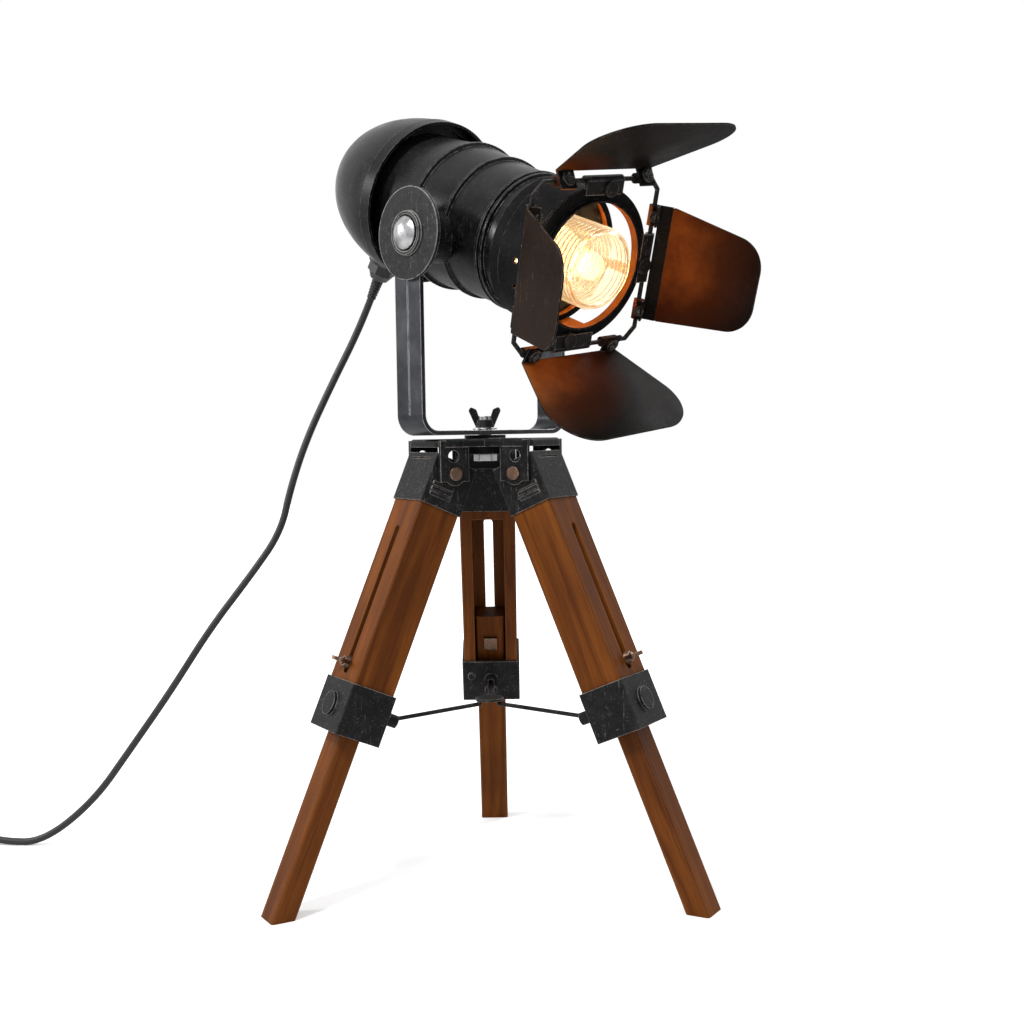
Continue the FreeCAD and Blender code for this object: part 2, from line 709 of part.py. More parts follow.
def ears(half_width, rise):
    """Two knuckles on the hinge rod, each with a plate in front that carries the flap."""
    pieces = []
    for side in (-1, 1):
        outer = side * half_width
        inner = side * (half_width - ear_width)
        low, high = sorted((outer, inner))
        knuckle = rod((0, low, 0), (0, high, 0), ear_radius)
        plate = box(ear_plate_front - ear_plate_thickness, ear_plate_front, low, high, -ear_plate_drop,
                    rise + door_sheet)
        bore = rod((0, low - 1, 0), (0, high + 1, 0), hinge_rod_radius + pin_gap)
        pieces.append(fused(knuckle, plate).cut(bore))
    return pieces


def wide_door(name):
    corners, radii = flap_outline(wide_door_root, wide_door_tip, wide_door_length, wide_door_corner)
    flap = rounded_plate(corners, radii, door_sheet)
    flap = placed(flap, Place(V(flap_start, 0, flap_rise), Rot()))
    return placed(fused(flap, *ears(wide_door_root, flap_rise)), door_frame(name))


def slim_door(name):
    """A slim door: a short strip by the hinge, then the flap at an angle to it."""
    strip = box(lug_wrap + 2 * skin_gap, slim_strip_length, -slim_strip_half, slim_strip_half, slim_rise,
                slim_rise + door_sheet)
    corners, radii = flap_outline(slim_door_root, slim_door_tip, slim_door_length, slim_door_corner)
    flap = placed(rounded_plate(corners, radii, door_sheet), Place(V(slim_strip_length - 0.6, 0, slim_rise), Rot()))
    bend = Place(ZERO, Rot(AXIS_Y, -slim_strip_bend))
    hinge_part = placed(fused(strip, *ears(slim_strip_half, slim_rise)), bend)
    fold = bend.multVec(V(slim_strip_length, 0, slim_rise)) - V(slim_strip_length, 0, slim_rise)
    return placed(fused(hinge_part, placed(flap, Place(fold, Rot()))), door_frame(name))


def ear_screws(name, half_width, radius, drop, bend):
    """Round screw heads on the front of the two ears."""
    pieces = []
    for side in (-1, 1):
        middle = side * (half_width - ear_width / 2)
        start = V(ear_plate_front - seat_sink, middle, -drop)
        head = Part.makeCylinder(radius, ear_screw_height + seat_sink, start, AXIS_X)
        pieces.append(placed(head, door_frame(name) * Place(ZERO, Rot(AXIS_Y, -bend))))
    return pieces


# ---------------------------------------------------------------- yoke
def yoke_strap():
    """A flat strap bent into a U, with a pressed crease down the outside of each arm."""
    x, z = yoke_pivot_ahead, pivot_height
    base = box(-yoke_width / 2, yoke_width / 2, -yoke_half, yoke_half, yoke_bottom, z)
    edges = [e for e in base.Edges if abs(e.CenterOfMass.z - yoke_bottom) < 0.1 and abs(e.CenterOfMass.x) < 0.1]
    base = base.makeFillet(yoke_bend + yoke_sheet, edges)
    inner = yoke_half - yoke_sheet
    hollow = box(-yoke_width, yoke_width, -inner, inner, yoke_bottom + yoke_sheet, z + yoke_width)
    edges = [e for e in hollow.Edges
             if abs(e.CenterOfMass.z - yoke_bottom - yoke_sheet) < 0.1 and abs(e.CenterOfMass.x) < 0.1]
    strap = base.cut(hollow.makeFillet(yoke_bend, edges))
    for side in (-1, 1):
        low, high = sorted((side * inner, side * yoke_half))
        strap = strap.fuse(rod((0, low, z), (0, high, z), yoke_width / 2))
        top = z - disc_radius
        groove = box(-0.7, 0.7, side * yoke_half - yoke_crease, side * yoke_half + yoke_crease,
                     yoke_bottom + yoke_bend + yoke_sheet, top)
        strap = strap.cut(groove)
        strap = strap.cut(rod((x, side * (inner - 1), z), (x, side * (yoke_half + 1), z), stud_radius + pin_gap))
    bolt_hole = rod((0, 0, yoke_bottom - 1), (0, 0, yoke_bottom + yoke_sheet + 1), center_bolt_radius + pin_gap)
    return placed(strap.cut(bolt_hole).removeSplitter(), yoke_frame)


def yoke_discs():
    """Large round discs on the outside of the arms, each with a cupped washer in its middle."""
    pieces = []
    x, z = yoke_pivot_ahead, pivot_height
    for side in (-1, 1):
        face = side * yoke_half
        out = side * (yoke_half + disc_thickness)
        cup = side * (yoke_half + disc_thickness + cup_height)
        disc = rod((x, face, z), (x, out, z), disc_radius)
        ring = rod((x, face, z), (x, cup, z), cup_radius)
        dish = rod((x, out, z), (x, cup + side, z), cup_radius - 2.5)
        bore = rod((x, face - side, z), (x, cup + side, z), stud_radius + pin_gap)
        pieces.append(placed(fused(disc, ring).cut(dish).cut(bore), yoke_frame))
    return pieces


def pivot_nut(side):
    """Domed nut on the end of a pivot stud, standing in the cupped washer."""
    seat = yoke_half + disc_thickness + skin_gap
    x, z = yoke_pivot_ahead, pivot_height
    base = Part.makeCylinder(nut_radius, nut_base + cup_height - 1.0, V(x, side * seat, z), V(0, side, 0))
    dome_start = seat + nut_base + cup_height - 1.0
    sphere_radius = (nut_radius ** 2 + nut_dome ** 2) / (2 * nut_dome)
    ball = Part.makeSphere(sphere_radius, V(x, side * (dome_start + nut_dome - sphere_radius), z))
    keep = Part.makeCylinder(nut_radius, nut_dome + 1, V(x, side * (dome_start - 0.1), z), V(0, side, 0))
    stud_room = yoke_half + disc_thickness + cup_height + nut_base + 1.0 + skin_gap
    bore = rod((x, side * (seat - 1), z), (x, side * stud_room, z), stud_radius)
    return placed(fused(base, ball.common(keep)).cut(bore), yoke_frame)


def wing_nut(scale):
    """Wing nut standing on its base, ears along X, bored for its bolt by the caller."""
    hub = Part.makeCone(wing_hub_radius, wing_hub_radius * 0.75, wing_hub_height)
    pieces = [hub]
    for side in (-1, 1):
        root = side * wing_hub_radius * 0.45
        tip = side * wing_span / 2
        corners = [(root, 0.8), (side * wing_hub_radius * 0.95, 0.8), (tip, wing_hub_height + wing_height * 0.7),
                   (tip - side * 1.5, wing_hub_height + wing_height),
                   (tip - side * 6.0, wing_hub_height + wing_height * 0.8), (root, wing_hub_height * 0.85)]
        if side < 0:
            corners = corners[::-1]
        ear = rounded_plate(corners, [0, 0.8, 1.4, 1.6, 1.4, 0], wing_thickness)
        pieces.append(placed(ear, Place(V(0, wing_thickness / 2, 0), Rot(AXIS_X, 90))))
    whole = fused(*pieces)
    if scale != 1.0:
        matrix = FreeCAD.Matrix()
        matrix.scale(scale, scale, scale)
        whole = whole.transformGeometry(matrix)
    return whole


def washer_bottom():
    return yoke_bottom + yoke_sheet + skin_gap


def top_wing_nut():
    seat = washer_bottom() + nut_washer_thickness + skin_gap
    top = seat + wing_hub_height + wing_height
    nut = placed(wing_nut(1.0), Place(V(0, 0, seat), Rot()))
    return nut.cut(rod((0, 0, seat - cut_over), (0, 0, top + cut_over), center_bolt_radius + pin_gap))


# ---------------------------------------------------------------- tripod head
def casting_ears(bearing):
    """Two hinge ears under a lobe, each with a round window."""
    pieces = []
    frame = Place(ZERO, Rot(AXIS_Z, bearing))
    inner = wood_width / 2 + cap_sheet + skin_gap
    for side in (-1, 1):
        low, high = sorted((side * inner, side * (inner + ear_plate)))
        plate = box(leg_hinge_radius - ear_half_width, leg_hinge_radius + ear_half_width, low, high,
                    leg_hinge_height - ear_drop + 3.0, casting_top - 1.0)
        foot = rod((leg_hinge_radius, low, leg_hinge_height), (leg_hinge_radius, high, leg_hinge_height), ear_drop)
        window = rod((leg_hinge_radius + 1.0, low - 1, leg_hinge_height + 13.0),
                     (leg_hinge_radius + 1.0, high + 1, leg_hinge_height + 13.0), window_radius)
        bore = rod((leg_hinge_radius, low - 1, leg_hinge_height), (leg_hinge_radius, high + 1, leg_hinge_height),
                   hinge_pin_radius + pin_gap)
        pieces.append(placed(fused(plate, foot).cut(window).cut(bore), frame))
    return pieces


def top_casting():
    """Three-lobed plate with a raised middle, and hinge ears under each lobe."""
    under = casting_top - casting_thickness
    core = rod((0, 0, under), (0, 0, casting_top), casting_core)
    boss = rod((0, 0, under - 6.0), (0, 0, yoke_bottom - skin_gap), center_washer_radius)
    pieces = [boss]
    half = lobe_width / 2
    for bearing in leg_bearings.values():
        lobe = rounded_plate([(0, -half), (lobe_reach, -half), (lobe_reach, half), (0, half)],
                             [0, lobe_corner, lobe_corner, 0], casting_thickness)
        rim = [e for e in lobe.Edges if abs(e.CenterOfMass.z - casting_thickness) < 0.1 and e.CenterOfMass.x > 1.0]
        lobe = lobe.makeFillet(lobe_edge, rim)
        pieces.append(placed(lobe, Place(V(0, 0, under), Rot(AXIS_Z, bearing))))
        pieces += casting_ears(bearing)
    bore = rod((0, 0, under - 10), (0, 0, yoke_bottom + 1), center_bolt_radius + pin_gap)
    return fused(core, *pieces).cut(bore)


def center_bolt():
    """The bolt that the yoke turns on, and the washer over the yoke."""
    under = casting_top - casting_thickness - 6.0
    low = washer_bottom()
    high = low + nut_washer_thickness
    shank = rod((0, 0, under - 1.0), (0, 0, high + wing_hub_height + 3.0), center_bolt_radius)
    head = placed(six_sided(bolt_head_radius, bolt_head_height), Place(V(0, 0, under - bolt_head_height), Rot()))
    washer = rod((0, 0, low), (0, 0, high), nut_washer_radius)
    washer = washer.cut(rod((0, 0, low - cut_over), (0, 0, high + cut_over), center_bolt_radius + pin_gap))
    return [fused(shank, head), washer]


def hinge_pins():
    """A pin through each leg's cap and wood, with a round head outside each ear."""
    pieces = []
    reach = wood_width / 2 + cap_sheet + skin_gap + ear_plate
    for bearing in leg_bearings.values():
        frame = Place(ZERO, Rot(AXIS_Z, bearing)) * Place(V(leg_hinge_radius, 0, leg_hinge_height), Rot())
        pin = rod((0, -reach, 0), (0, reach, 0), hinge_pin_radius)
        heads = []
        for side in (-1, 1):
            start = side * reach
            heads.append(rod((0, start, 0), (0, start + side * hinge_pin_head_height, 0), hinge_pin_head))
        pieces.append(placed(fused(pin, *heads), frame))
    return pieces


# ---------------------------------------------------------------- legs
def pin_bore(reach):
    return rod((0, -reach, 0), (0, reach, 0), hinge_pin_radius + pin_gap)


def upper_leg(frame):
    """Wooden channel, open to the inside, with a long slot through its outer wall."""
    half = wood_width / 2
    deep = wood_depth / 2
    bar = bevelled_bar(-deep, deep, -half, half, -wood_bottom, -wood_top, wood_bevel)
    channel = box(-deep - cut_over, deep - channel_floor, -channel_width / 2, channel_width / 2,
                  -wood_bottom - cut_over, -channel_top)
    slot_half = slot_width / 2
    slot = box(deep - channel_floor - cut_over, deep + cut_over, -slot_half, slot_half, -slot_bottom, -slot_top)
    ends = [rod((0, 0, -slot_top), (deep + cut_over, 0, -slot_top), slot_half),
            rod((0, 0, -slot_bottom), (deep + cut_over, 0, -slot_bottom), slot_half)]
    return placed(bar.cut(channel).cut(slot.fuse(ends)).cut(pin_bore(half + 1)), frame)


def leg_cap(frame):
    """Sheet-metal shoe on the top of the wooden leg, with pressed ribs on its sides."""
    half = wood_width / 2
    deep = wood_depth / 2
    outer = box(-deep - cap_sheet, deep + cap_sheet, -half - cap_sheet, half + cap_sheet, -cap_bottom, -cap_top)
    outer = outer.makeFillet(1.0, [e for e in outer.Edges if abs(e.Vertexes[0].Z - e.Vertexes[-1].Z) > 1.0])
    inner = box(-deep, deep, -half, half, -cap_bottom - cut_over, -wood_top)
    shell = outer.cut(inner)
    window = box(deep - 1.0, deep + cap_sheet + 1.0, -half + 7.0, half - 7.0, 5.0, -cap_top - 4.0)
    ribs = []
    for i in range(cap_rib_count):
        down = -cap_rib_first + cap_rib_pitch * i
        for side in (-1, 1):
            face = side * (half + cap_sheet)
            middle = face + side * (cap_rib_rise - cap_rib_radius)
            ribs.append(rod((cap_rib_start, middle, down), (cap_rib_start + cap_rib_length, middle, down),
                            cap_rib_radius))
    shell = shell.fuse(ribs).cut(inner).cut(window)
    return placed(shell.cut(pin_bore(half + 4)), frame)


def collar_edges():
    half = wood_width / 2 + skin_gap * 0.3
    deep = wood_depth / 2 + skin_gap * 0.3
    return half, deep


def lower_leg_center():
    """Middle of the lower leg, which lies against the channel's outer wall."""
    return wood_depth / 2 - channel_floor - skin_gap - lower_depth / 2


def collar(frame):
    """Metal sleeve on the foot of the wooden channel: floor plate, front disc, stay boss and a screw."""
    half, deep = collar_edges()
    wall = collar_sheet
    outer = box(-deep - wall, deep + wall, -half - wall, half + wall, -collar_bottom, -collar_top)
    outer = outer.makeFillet(1.2, [e for e in outer.Edges if abs(e.Vertexes[0].Z - e.Vertexes[-1].Z) > 1.0])
    inner = box(-deep, deep, -half, half, -collar_bottom + collar_floor, -collar_top + cut_over)
    middle = lower_leg_center()
    gate_deep = lower_depth / 2 + skin_gap
    gate_half = lower_width / 2 + skin_gap
    gate = box(middle - gate_deep, middle + gate_deep, -gate_half, gate_half, -collar_bottom - 1,
               -collar_bottom + collar_floor + 1)
    level = -(collar_top + collar_bottom) / 2
    disc = rod((deep + wall - 0.3, 0, level), (deep + wall + collar_disc_height, 0, level), collar_disc_radius)
    screw_place = (-deep - wall, half - 6.0, level + 6.0)
    screw = rod((screw_place[0] + 0.3, screw_place[1], screw_place[2]),
                (screw_place[0] - collar_screw_height, screw_place[1], screw_place[2]), collar_screw_radius)
    down, inwards = stay_pivot_local()
    boss = rod((-deep - wall + 0.3, 0, -down), (inwards - stay_eye_radius - 1.2, 0, -down), stay_boss_radius)
    slit = box(inwards - 10.0, inwards + stay_eye_radius + 1.0, -stay_eye_width / 2 - skin_gap,
               stay_eye_width / 2 + skin_gap, -down - 10.0, -down + 10.0)
    pin = rod((inwards, -stay_boss_radius + 0.8, -down), (inwards, stay_boss_radius - 0.8, -down), stay_pin_radius)
    sleeve = fused(outer, disc, screw, boss).cut(inner).cut(gate).cut(slit)
    return placed(fused(sleeve, pin), frame)


def lower_leg(frame):
    """Square foot bar that slides in the channel, cut level with the table."""
    middle = lower_leg_center()
    deep = lower_depth / 2
    half = lower_width / 2
    length = (leg_hinge_height + wood_width) / math.cos(math.radians(splay))
    bar = bevelled_bar(middle - deep, middle + deep, -half, half, -length, -lower_top, wood_bevel)
    bolt = rod((middle - deep - 1, 0, -slot_bolt_down), (middle + deep + 1, 0, -slot_bolt_down),
               slot_bolt_radius + pin_gap)
    bar = placed(bar.cut(bolt), frame)
    reach = leg_hinge_height * 2
    return bar.cut(box(-reach, reach, -reach, reach, -reach, 0))


def slot_nut_seat():
    return wood_depth / 2 + skin_gap


def slot_bolt(frame):
    """Bolt through the lower leg and the slot, with a square head in the channel."""
    middle = lower_leg_center()
    inside = middle - lower_depth / 2
    tip = slot_nut_seat() + wing_hub_height * slot_nut_scale + 1.5
    shank = rod((inside - 0.5, 0, -slot_bolt_down), (tip, 0, -slot_bolt_down), slot_bolt_radius)
    half = slot_bolt_head
    head = box(inside - 3.0, inside, -half, half, -slot_bolt_down - half, -slot_bolt_down + half)
    return placed(fused(shank, head), frame)


def slot_wing_nut(frame):
    nut = placed(wing_nut(slot_nut_scale), Place(V(slot_nut_seat(), 0, -slot_bolt_down),
                                                 Rot(AXIS_X, 90) * Rot(AXIS_Y, 90)))
    tip = slot_nut_seat() + (wing_hub_height + wing_height) * slot_nut_scale + cut_over
    return placed(nut.cut(rod((0, 0, -slot_bolt_down), (tip, 0, -slot_bolt_down), slot_bolt_radius + pin_gap)), frame)


# ---------------------------------------------------------------- stays
def stay_pivot_local():
    """Stay pivot in the leg's frame: distance down the leg and place along the leg's X."""
    return stay_pivot_down, -stay_pivot_inside


def stay_pivot():
    """Stay pivot's distance from the pan axis and its height above the table."""
    lean = math.radians(splay)
    down, ahead = stay_pivot_local()
    radius = leg_hinge_radius + down * math.sin(lean) + ahead * math.cos(lean)
    return radius, leg_hinge_height - down * math.cos(lean) + ahead * math.sin(lean)


def stay_frame(bearing):
    """Origin on the stay's pivot, X pointing towards the middle along the rod."""
    radius, height = stay_pivot()
    out = V(radius * math.cos(math.radians(bearing)), radius * math.sin(math.radians(bearing)), height)
    return Place(out, Rot(AXIS_Z, bearing + 180.0) * Rot(AXIS_Y, -stay_rise))


def stay_length():
    return (stay_pivot()[0] - stay_tip_radius) / math.cos(math.radians(stay_rise))


def stay_rod(bearing):
    eye = rod((0, -stay_eye_width / 2, 0), (0, stay_eye_width / 2, 0), stay_eye_radius)
    bar = rod((0, 0, 0), (stay_length(), 0, 0), stay_radius)
    bore = rod((0, -stay_eye_width, 0), (0, stay_eye_width, 0), stay_pin_radius + pin_gap)
    return placed(fused(eye, bar).cut(bore), stay_frame(bearing))


def stay_hub(bearing):
    """Round plate over the middle, riveted to the end of one rod."""
    frame = stay_frame(bearing)
    radius, height = stay_pivot()
    middle = height + radius * math.tan(math.radians(stay_rise))
    under = middle + stay_radius / math.cos(math.radians(stay_rise)) + skin_gap
    disc = rod((0, 0, under), (0, 0, under + stay_hub_thickness), stay_hub_radius)
    disc = disc.makeFillet(0.5, disc.Edges[:1])
    end = frame.multVec(V(stay_length() - 1.8, 0, 0))
    rivet = rod((end.x, end.y, end.z - stay_radius * 0.5), (end.x, end.y, under + 0.5), 1.2)
    return fused(disc, rivet)


# ---------------------------------------------------------------- mains lead
def cord_points():
    """The route's points, the first two straight out of the strain relief."""
    start = relief_ends()[1] + cord_clear
    out = [gland_frame().multVec(V(0, 0, along)) for along in (start, start + cord_exit_run)]
    return out + [V(*p) for p in cord_route]


def tube(points, diameter, name):
    """Straight runs joined by tangent arcs, swept with a round section."""
    edges = []
    last = points[0]
    tightest = 1e9
    for i in range(1, len(points) - 1):
        before = points[i] - points[i - 1]
        after = points[i + 1] - points[i]
        turn = before.getAngle(after)
        radius = 0.45 * min(before.Length, after.Length) / math.tan(turn / 2)
        tightest = min(tightest, radius)
        reach = radius * math.tan(turn / 2)
        way_in = V(before).normalize()
        way_out = V(after).normalize()
        start = points[i] - way_in * reach
        end = points[i] + way_out * reach
        inwards = (way_out - way_in).normalize()
        middle = points[i] + inwards * (radius / math.cos(turn / 2) - radius)
        edges.append(Part.LineSegment(last, start).toShape())
        edges.append(Part.Arc(start, middle, end).toShape())
        last = end
    edges.append(Part.LineSegment(last, points[-1]).toShape())
    path = Part.Wire(edges)
    first = points[1] - points[0]
    ring = Part.Wire([Part.Circle(points[0], first, diameter / 2).toShape()])
    swept = path.makePipeShell([ring], True, False)
    share = swept.Volume / (math.pi * diameter ** 2 / 4 * path.Length)
    print(name, "length", round(path.Length, 1), "tightest radius", round(tightest, 1), "volume share", round(share, 4))
    return swept


def switch_inlet():
    """Middle of the face where the cord enters the switch."""
    x, y, z = cord_route[-1]
    return V(x - cord_clear, y, z)


def switch_case():
    """Hand switch in the lead: two shells' outer shape with a nose at each end and a pocket for the rocker."""
    inlet = switch_inlet()
    half = switch_width / 2
    body = box(inlet.x - switch_length + switch_nose, inlet.x - switch_nose, inlet.y - half, inlet.y + half,
               cord_high - switch_height / 2, cord_high + switch_height / 2)
    body = body.makeFillet(6.0, [e for e in body.Edges if abs(e.Vertexes[0].Z - e.Vertexes[-1].Z) > 1.0])
    top = cord_high + switch_height / 2
    body = body.makeFillet(2.0, [e for e in body.Edges if abs(e.CenterOfMass.z - top) < 0.1])
    nose = rod((inlet.x - switch_length, inlet.y, inlet.z), (inlet.x, inlet.y, inlet.z), cord_diameter / 2 + 1.6)
    middle = inlet.x - switch_length / 2
    reach = math.hypot(rocker_length / 2, rocker_proud + rocker_pin_depth) + skin_gap
    side = rocker_width / 2 + skin_gap
    pocket = box(middle - reach, middle + reach, inlet.y - side, inlet.y + side, top - 9.0, top + 2)
    level = top - rocker_pin_depth
    bore = rod((middle, inlet.y - side - 3.0, level), (middle, inlet.y + side + 3.0, level),
               rocker_pin_radius + pin_gap)
    return fused(body, nose).cut(pocket).cut(bore)


def switch_rocker():
    """Rocker with one end up, on a pin across the case."""
    inlet = switch_inlet()
    middle = inlet.x - switch_length / 2
    top = cord_high + switch_height / 2
    half = rocker_length / 2
    corners = [V(-half, 0, top - 2.5), V(-half, 0, top + rocker_proud), V(0, 0, top + 0.4), V(half, 0, top - 0.4),
               V(half, 0, top - 3.5), V(0, 0, top - 5.0)]
    body = Part.Face(Part.makePolygon(corners + corners[:1])).extrude(V(0, rocker_width, 0))
    body.translate(V(middle, inlet.y - rocker_width / 2, 0))
    reach = rocker_width / 2 + skin_gap + 2.6
    level = top - rocker_pin_depth
    pin = rod((middle, inlet.y - reach, level), (middle, inlet.y + reach, level), rocker_pin_radius)
    return fused(body, pin)


def coil_outer():
    """Radius of the middle of the coil's outermost turn."""
    return coil_turn_radius + (coil_turns_wide - 1) / 2 * cord_diameter


def coil_center():
    inlet = switch_inlet()
    return V(inlet.x - switch_length - cord_clear - coil_lead, inlet.y + coil_outer(), 0)


def cord_coil():
    """Outer shape of the wound spare length: rings of turns on the table, with its two leads."""
    middle = coil_center()
    half_wide = coil_turns_wide / 2 * cord_diameter
    height = coil_turns_high * cord_diameter
    corner = cord_diameter * 0.4
    ring = (Part.makeCylinder(coil_turn_radius + half_wide, height, V(middle.x, middle.y, 0))
            .cut(Part.makeCylinder(coil_turn_radius - half_wide, height, V(middle.x, middle.y, 0))))
    ring = ring.makeFillet(corner, [e for e in ring.Edges if e.Curve.TypeId == "Part::GeomCircle"])
    leads = []
    for y in (middle.y - coil_outer(), middle.y + coil_outer()):
        leads.append(rod((middle.x, y, cord_high), (middle.x + coil_lead, y, cord_high), cord_diameter / 2))
    return fused(ring, *leads)


def plug_parts():
    """Flat two-blade plug lying beside the coil, its lead coming straight from the outermost turn."""
    middle = coil_center()
    y = middle.y + coil_outer()
    x = middle.x + coil_lead + cord_clear
    z = cord_high
    throat = rod((x, y, z), (x + plug_taper + 1.0, y, z), cord_diameter / 2 + 1.5)
    half = plug_width / 2
    high = plug_height / 2
    body = box(x + plug_taper, x + plug_taper + plug_length, y - half, y + half, z - high, z + high)
    body = body.makeFillet(4.0, [e for e in body.Edges if e.CenterOfMass.x < x + plug_taper + plug_length - 1
                                 and abs(e.CenterOfMass.y - y) > half - 0.1])
    blades = []
    face = x + plug_taper + plug_length
    for side in (-1, 1):
        blade_y = y + side * plug_blade_half_pitch
        thick = plug_blade_thickness / 2
        blades.append(box(face - 0.05, face + plug_blade_length, blade_y - thick, blade_y + thick,
                          z - plug_blade_width / 2, z + plug_blade_width / 2))
    return fused(body, throat), blades


# ---------------------------------------------------------------- build everything
os.makedirs("parts", exist_ok=True)

barrel = barrel_shell()
bezel = front_bezel().cut(barrel)
bulb_screw = bulb_base()
glass = ribbed_glass()
export("rear_dome", rear_dome())
export("barrel_shell", barrel)
export("front_bezel", bezel)
export("lamp_holder", seated(lamp_holder(), barrel, bulb_screw))
export("bulb_base", bulb_screw)
export("bulb_envelope", seated(bulb_envelope(), bulb_screw))
export("ribbed_glass", glass)
export("glass_retainer", seated(glass_retainer(), barrel, glass))
side_pads, side_studs = pivot_pads_and_studs()
export("pivot_pads", *[seated(pad, *side_studs) for pad in side_pads])
export("pivot_studs", *side_studs)
export("cable_gland", cable_gland())
export("strain_relief", strain_relief())
ring = door_ring()
hinge_rods = hinge_frame()
lugs = [seated(lug, ring, hinge_rods) for lug in hinge_lugs()]
export("door_ring", ring)
export("ring_standoffs", *[seated(strap, ring, bezel) for strap in ring_standoffs()])
export("hinge_rod_frame", hinge_rods)
export("hinge_lugs", *lugs)
export("lug_rivets", *[seated(rivet, *lugs) for rivet in lug_rivets()])
for side_name in ("top", "bottom"):
    door = wide_door(side_name)
    export("door_" + side_name, door)
    screws = ear_screws(side_name, wide_door_root, ear_screw_radius, 0.0, 0.0)
    export("door_screws_" + side_name, *[seated(screw, door) for screw in screws])
for side_name in ("near", "far"):
    door = slim_door(side_name)
    export("door_" + side_name, door)
    screws = ear_screws(side_name, slim_strip_half, slim_screw_radius, slim_screw_drop, slim_strip_bend)
    export("door_screws_" + side_name, *[seated(screw, door) for screw in screws])

export("yoke_strap", yoke_strap())
export("yoke_discs", *yoke_discs())
export("pivot_nuts", pivot_nut(-1), pivot_nut(1))
export("top_wing_nut", top_wing_nut())
export("top_casting", top_casting())
export("center_bolt", *center_bolt())
export("hinge_pins", *hinge_pins())

for leg_name, leg_bearing in leg_bearings.items():
    leg_place = leg_frame(leg_bearing)
    export("upper_leg_" + leg_name, upper_leg(leg_place))
    export("leg_cap_" + leg_name, leg_cap(leg_place))
    export("leg_collar_" + leg_name, collar(leg_place))
    export("lower_leg_" + leg_name, lower_leg(leg_place))
    export("slot_bolt_" + leg_name, slot_bolt(leg_place))
    export("slot_wing_nut_" + leg_name, slot_wing_nut(leg_place))
    export("stay_rod_" + leg_name, stay_rod(leg_bearing))
export("stay_hub", seated(stay_hub(leg_bearings["left"]), stay_rod(leg_bearings["left"])))

export("cord_tube", tube(cord_points(), cord_diameter, "cord"))
export("switch_case", switch_case())
export("switch_rocker", switch_rocker())
export("cord_coil", cord_coil())
plug_solid, blade_solids = plug_parts()
export("plug_body", plug_solid)
export("plug_blades", *[seated(blade, plug_solid) for blade in blade_solids])
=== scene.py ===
# %% [markdown]
# # A tabletop searchlight lamp
# The real lamp is a small black metal searchlight on a wooden tripod. Its hard
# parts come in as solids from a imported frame. The whole lamp could be modelled
# again here, but then its joints and its looks could drift apart. So this lesson
# only adds what solids are poor at: a soft lead, fine screw heads, worn finishes,
# light and a camera. Everything is in metres, Z up, on a floor at z = 0.

# %% Load the frame
import math
import bpy
import numpy as np
from mathutils import Matrix, Vector


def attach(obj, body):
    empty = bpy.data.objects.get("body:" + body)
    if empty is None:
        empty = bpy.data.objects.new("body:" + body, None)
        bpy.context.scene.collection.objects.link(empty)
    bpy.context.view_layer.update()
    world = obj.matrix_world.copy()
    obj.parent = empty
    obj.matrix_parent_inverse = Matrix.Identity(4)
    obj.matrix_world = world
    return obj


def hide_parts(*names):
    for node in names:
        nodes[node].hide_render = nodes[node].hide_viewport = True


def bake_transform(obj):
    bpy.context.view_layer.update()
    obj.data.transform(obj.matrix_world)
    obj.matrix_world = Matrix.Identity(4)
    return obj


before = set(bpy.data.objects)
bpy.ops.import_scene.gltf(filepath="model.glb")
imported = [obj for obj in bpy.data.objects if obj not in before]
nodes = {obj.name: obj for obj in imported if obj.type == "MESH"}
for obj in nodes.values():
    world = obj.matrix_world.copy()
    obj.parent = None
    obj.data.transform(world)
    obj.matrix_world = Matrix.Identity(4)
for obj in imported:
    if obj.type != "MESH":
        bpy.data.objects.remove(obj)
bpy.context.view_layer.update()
scene = bpy.context.scene
MM = 0.001

# %% [markdown]
# ## The camera
# The view is from about a metre away, a little above the middle of the lamp and
# slightly tilted. A Track To constraint could aim the camera, but it would keep
# the horizon level. So the view's right, up and backward directions are worked
# out and become the columns of the camera's matrix.

# %% Camera
CAMERA_PLACE = (0.0200, -1.09222, 0.35072)
CAMERA_PITCH = 0.057          # radians below level
CAMERA_ROLL = math.radians(-0.9)
CAMERA_LENS = 49.348          # focal length in millimetres
SENSOR_WIDTH = 36             # millimetres

right_level = Vector((1, 0, 0))
up_level = Vector((0, math.sin(CAMERA_PITCH), math.cos(CAMERA_PITCH)))
forward = Vector((0, math.cos(CAMERA_PITCH), -math.sin(CAMERA_PITCH)))
right = right_level * math.cos(CAMERA_ROLL) + up_level * math.sin(CAMERA_ROLL)
up = up_level * math.cos(CAMERA_ROLL) - right_level * math.sin(CAMERA_ROLL)
turn_to_view = Matrix((right, up, -forward)).transposed().to_4x4()
camera = bpy.data.objects.new("camera", bpy.data.cameras.new("camera"))
scene.collection.objects.link(camera)
camera.matrix_world = Matrix.Translation(CAMERA_PLACE) @ turn_to_view
camera.data.lens = CAMERA_LENS
camera.data.sensor_width = SENSOR_WIDTH
camera.data.clip_start = 0.01
scene.camera = camera
print("camera at", tuple(camera.location))

# %% [markdown]
# ## Meshes from grids
# Each new piece is a surface over two parameters, u and v. Such a piece could be
# pulled into shape by hand in Edit Mode. A grid of points was chosen because it
# says exactly what the shape is, and because numpy works out all points at once.

# %% From a grid of points to a mesh
def link(name, data):
    """Puts data into the scene as an object at the origin."""
    obj = bpy.data.objects.new(name, data)
    scene.collection.objects.link(obj)
    return obj


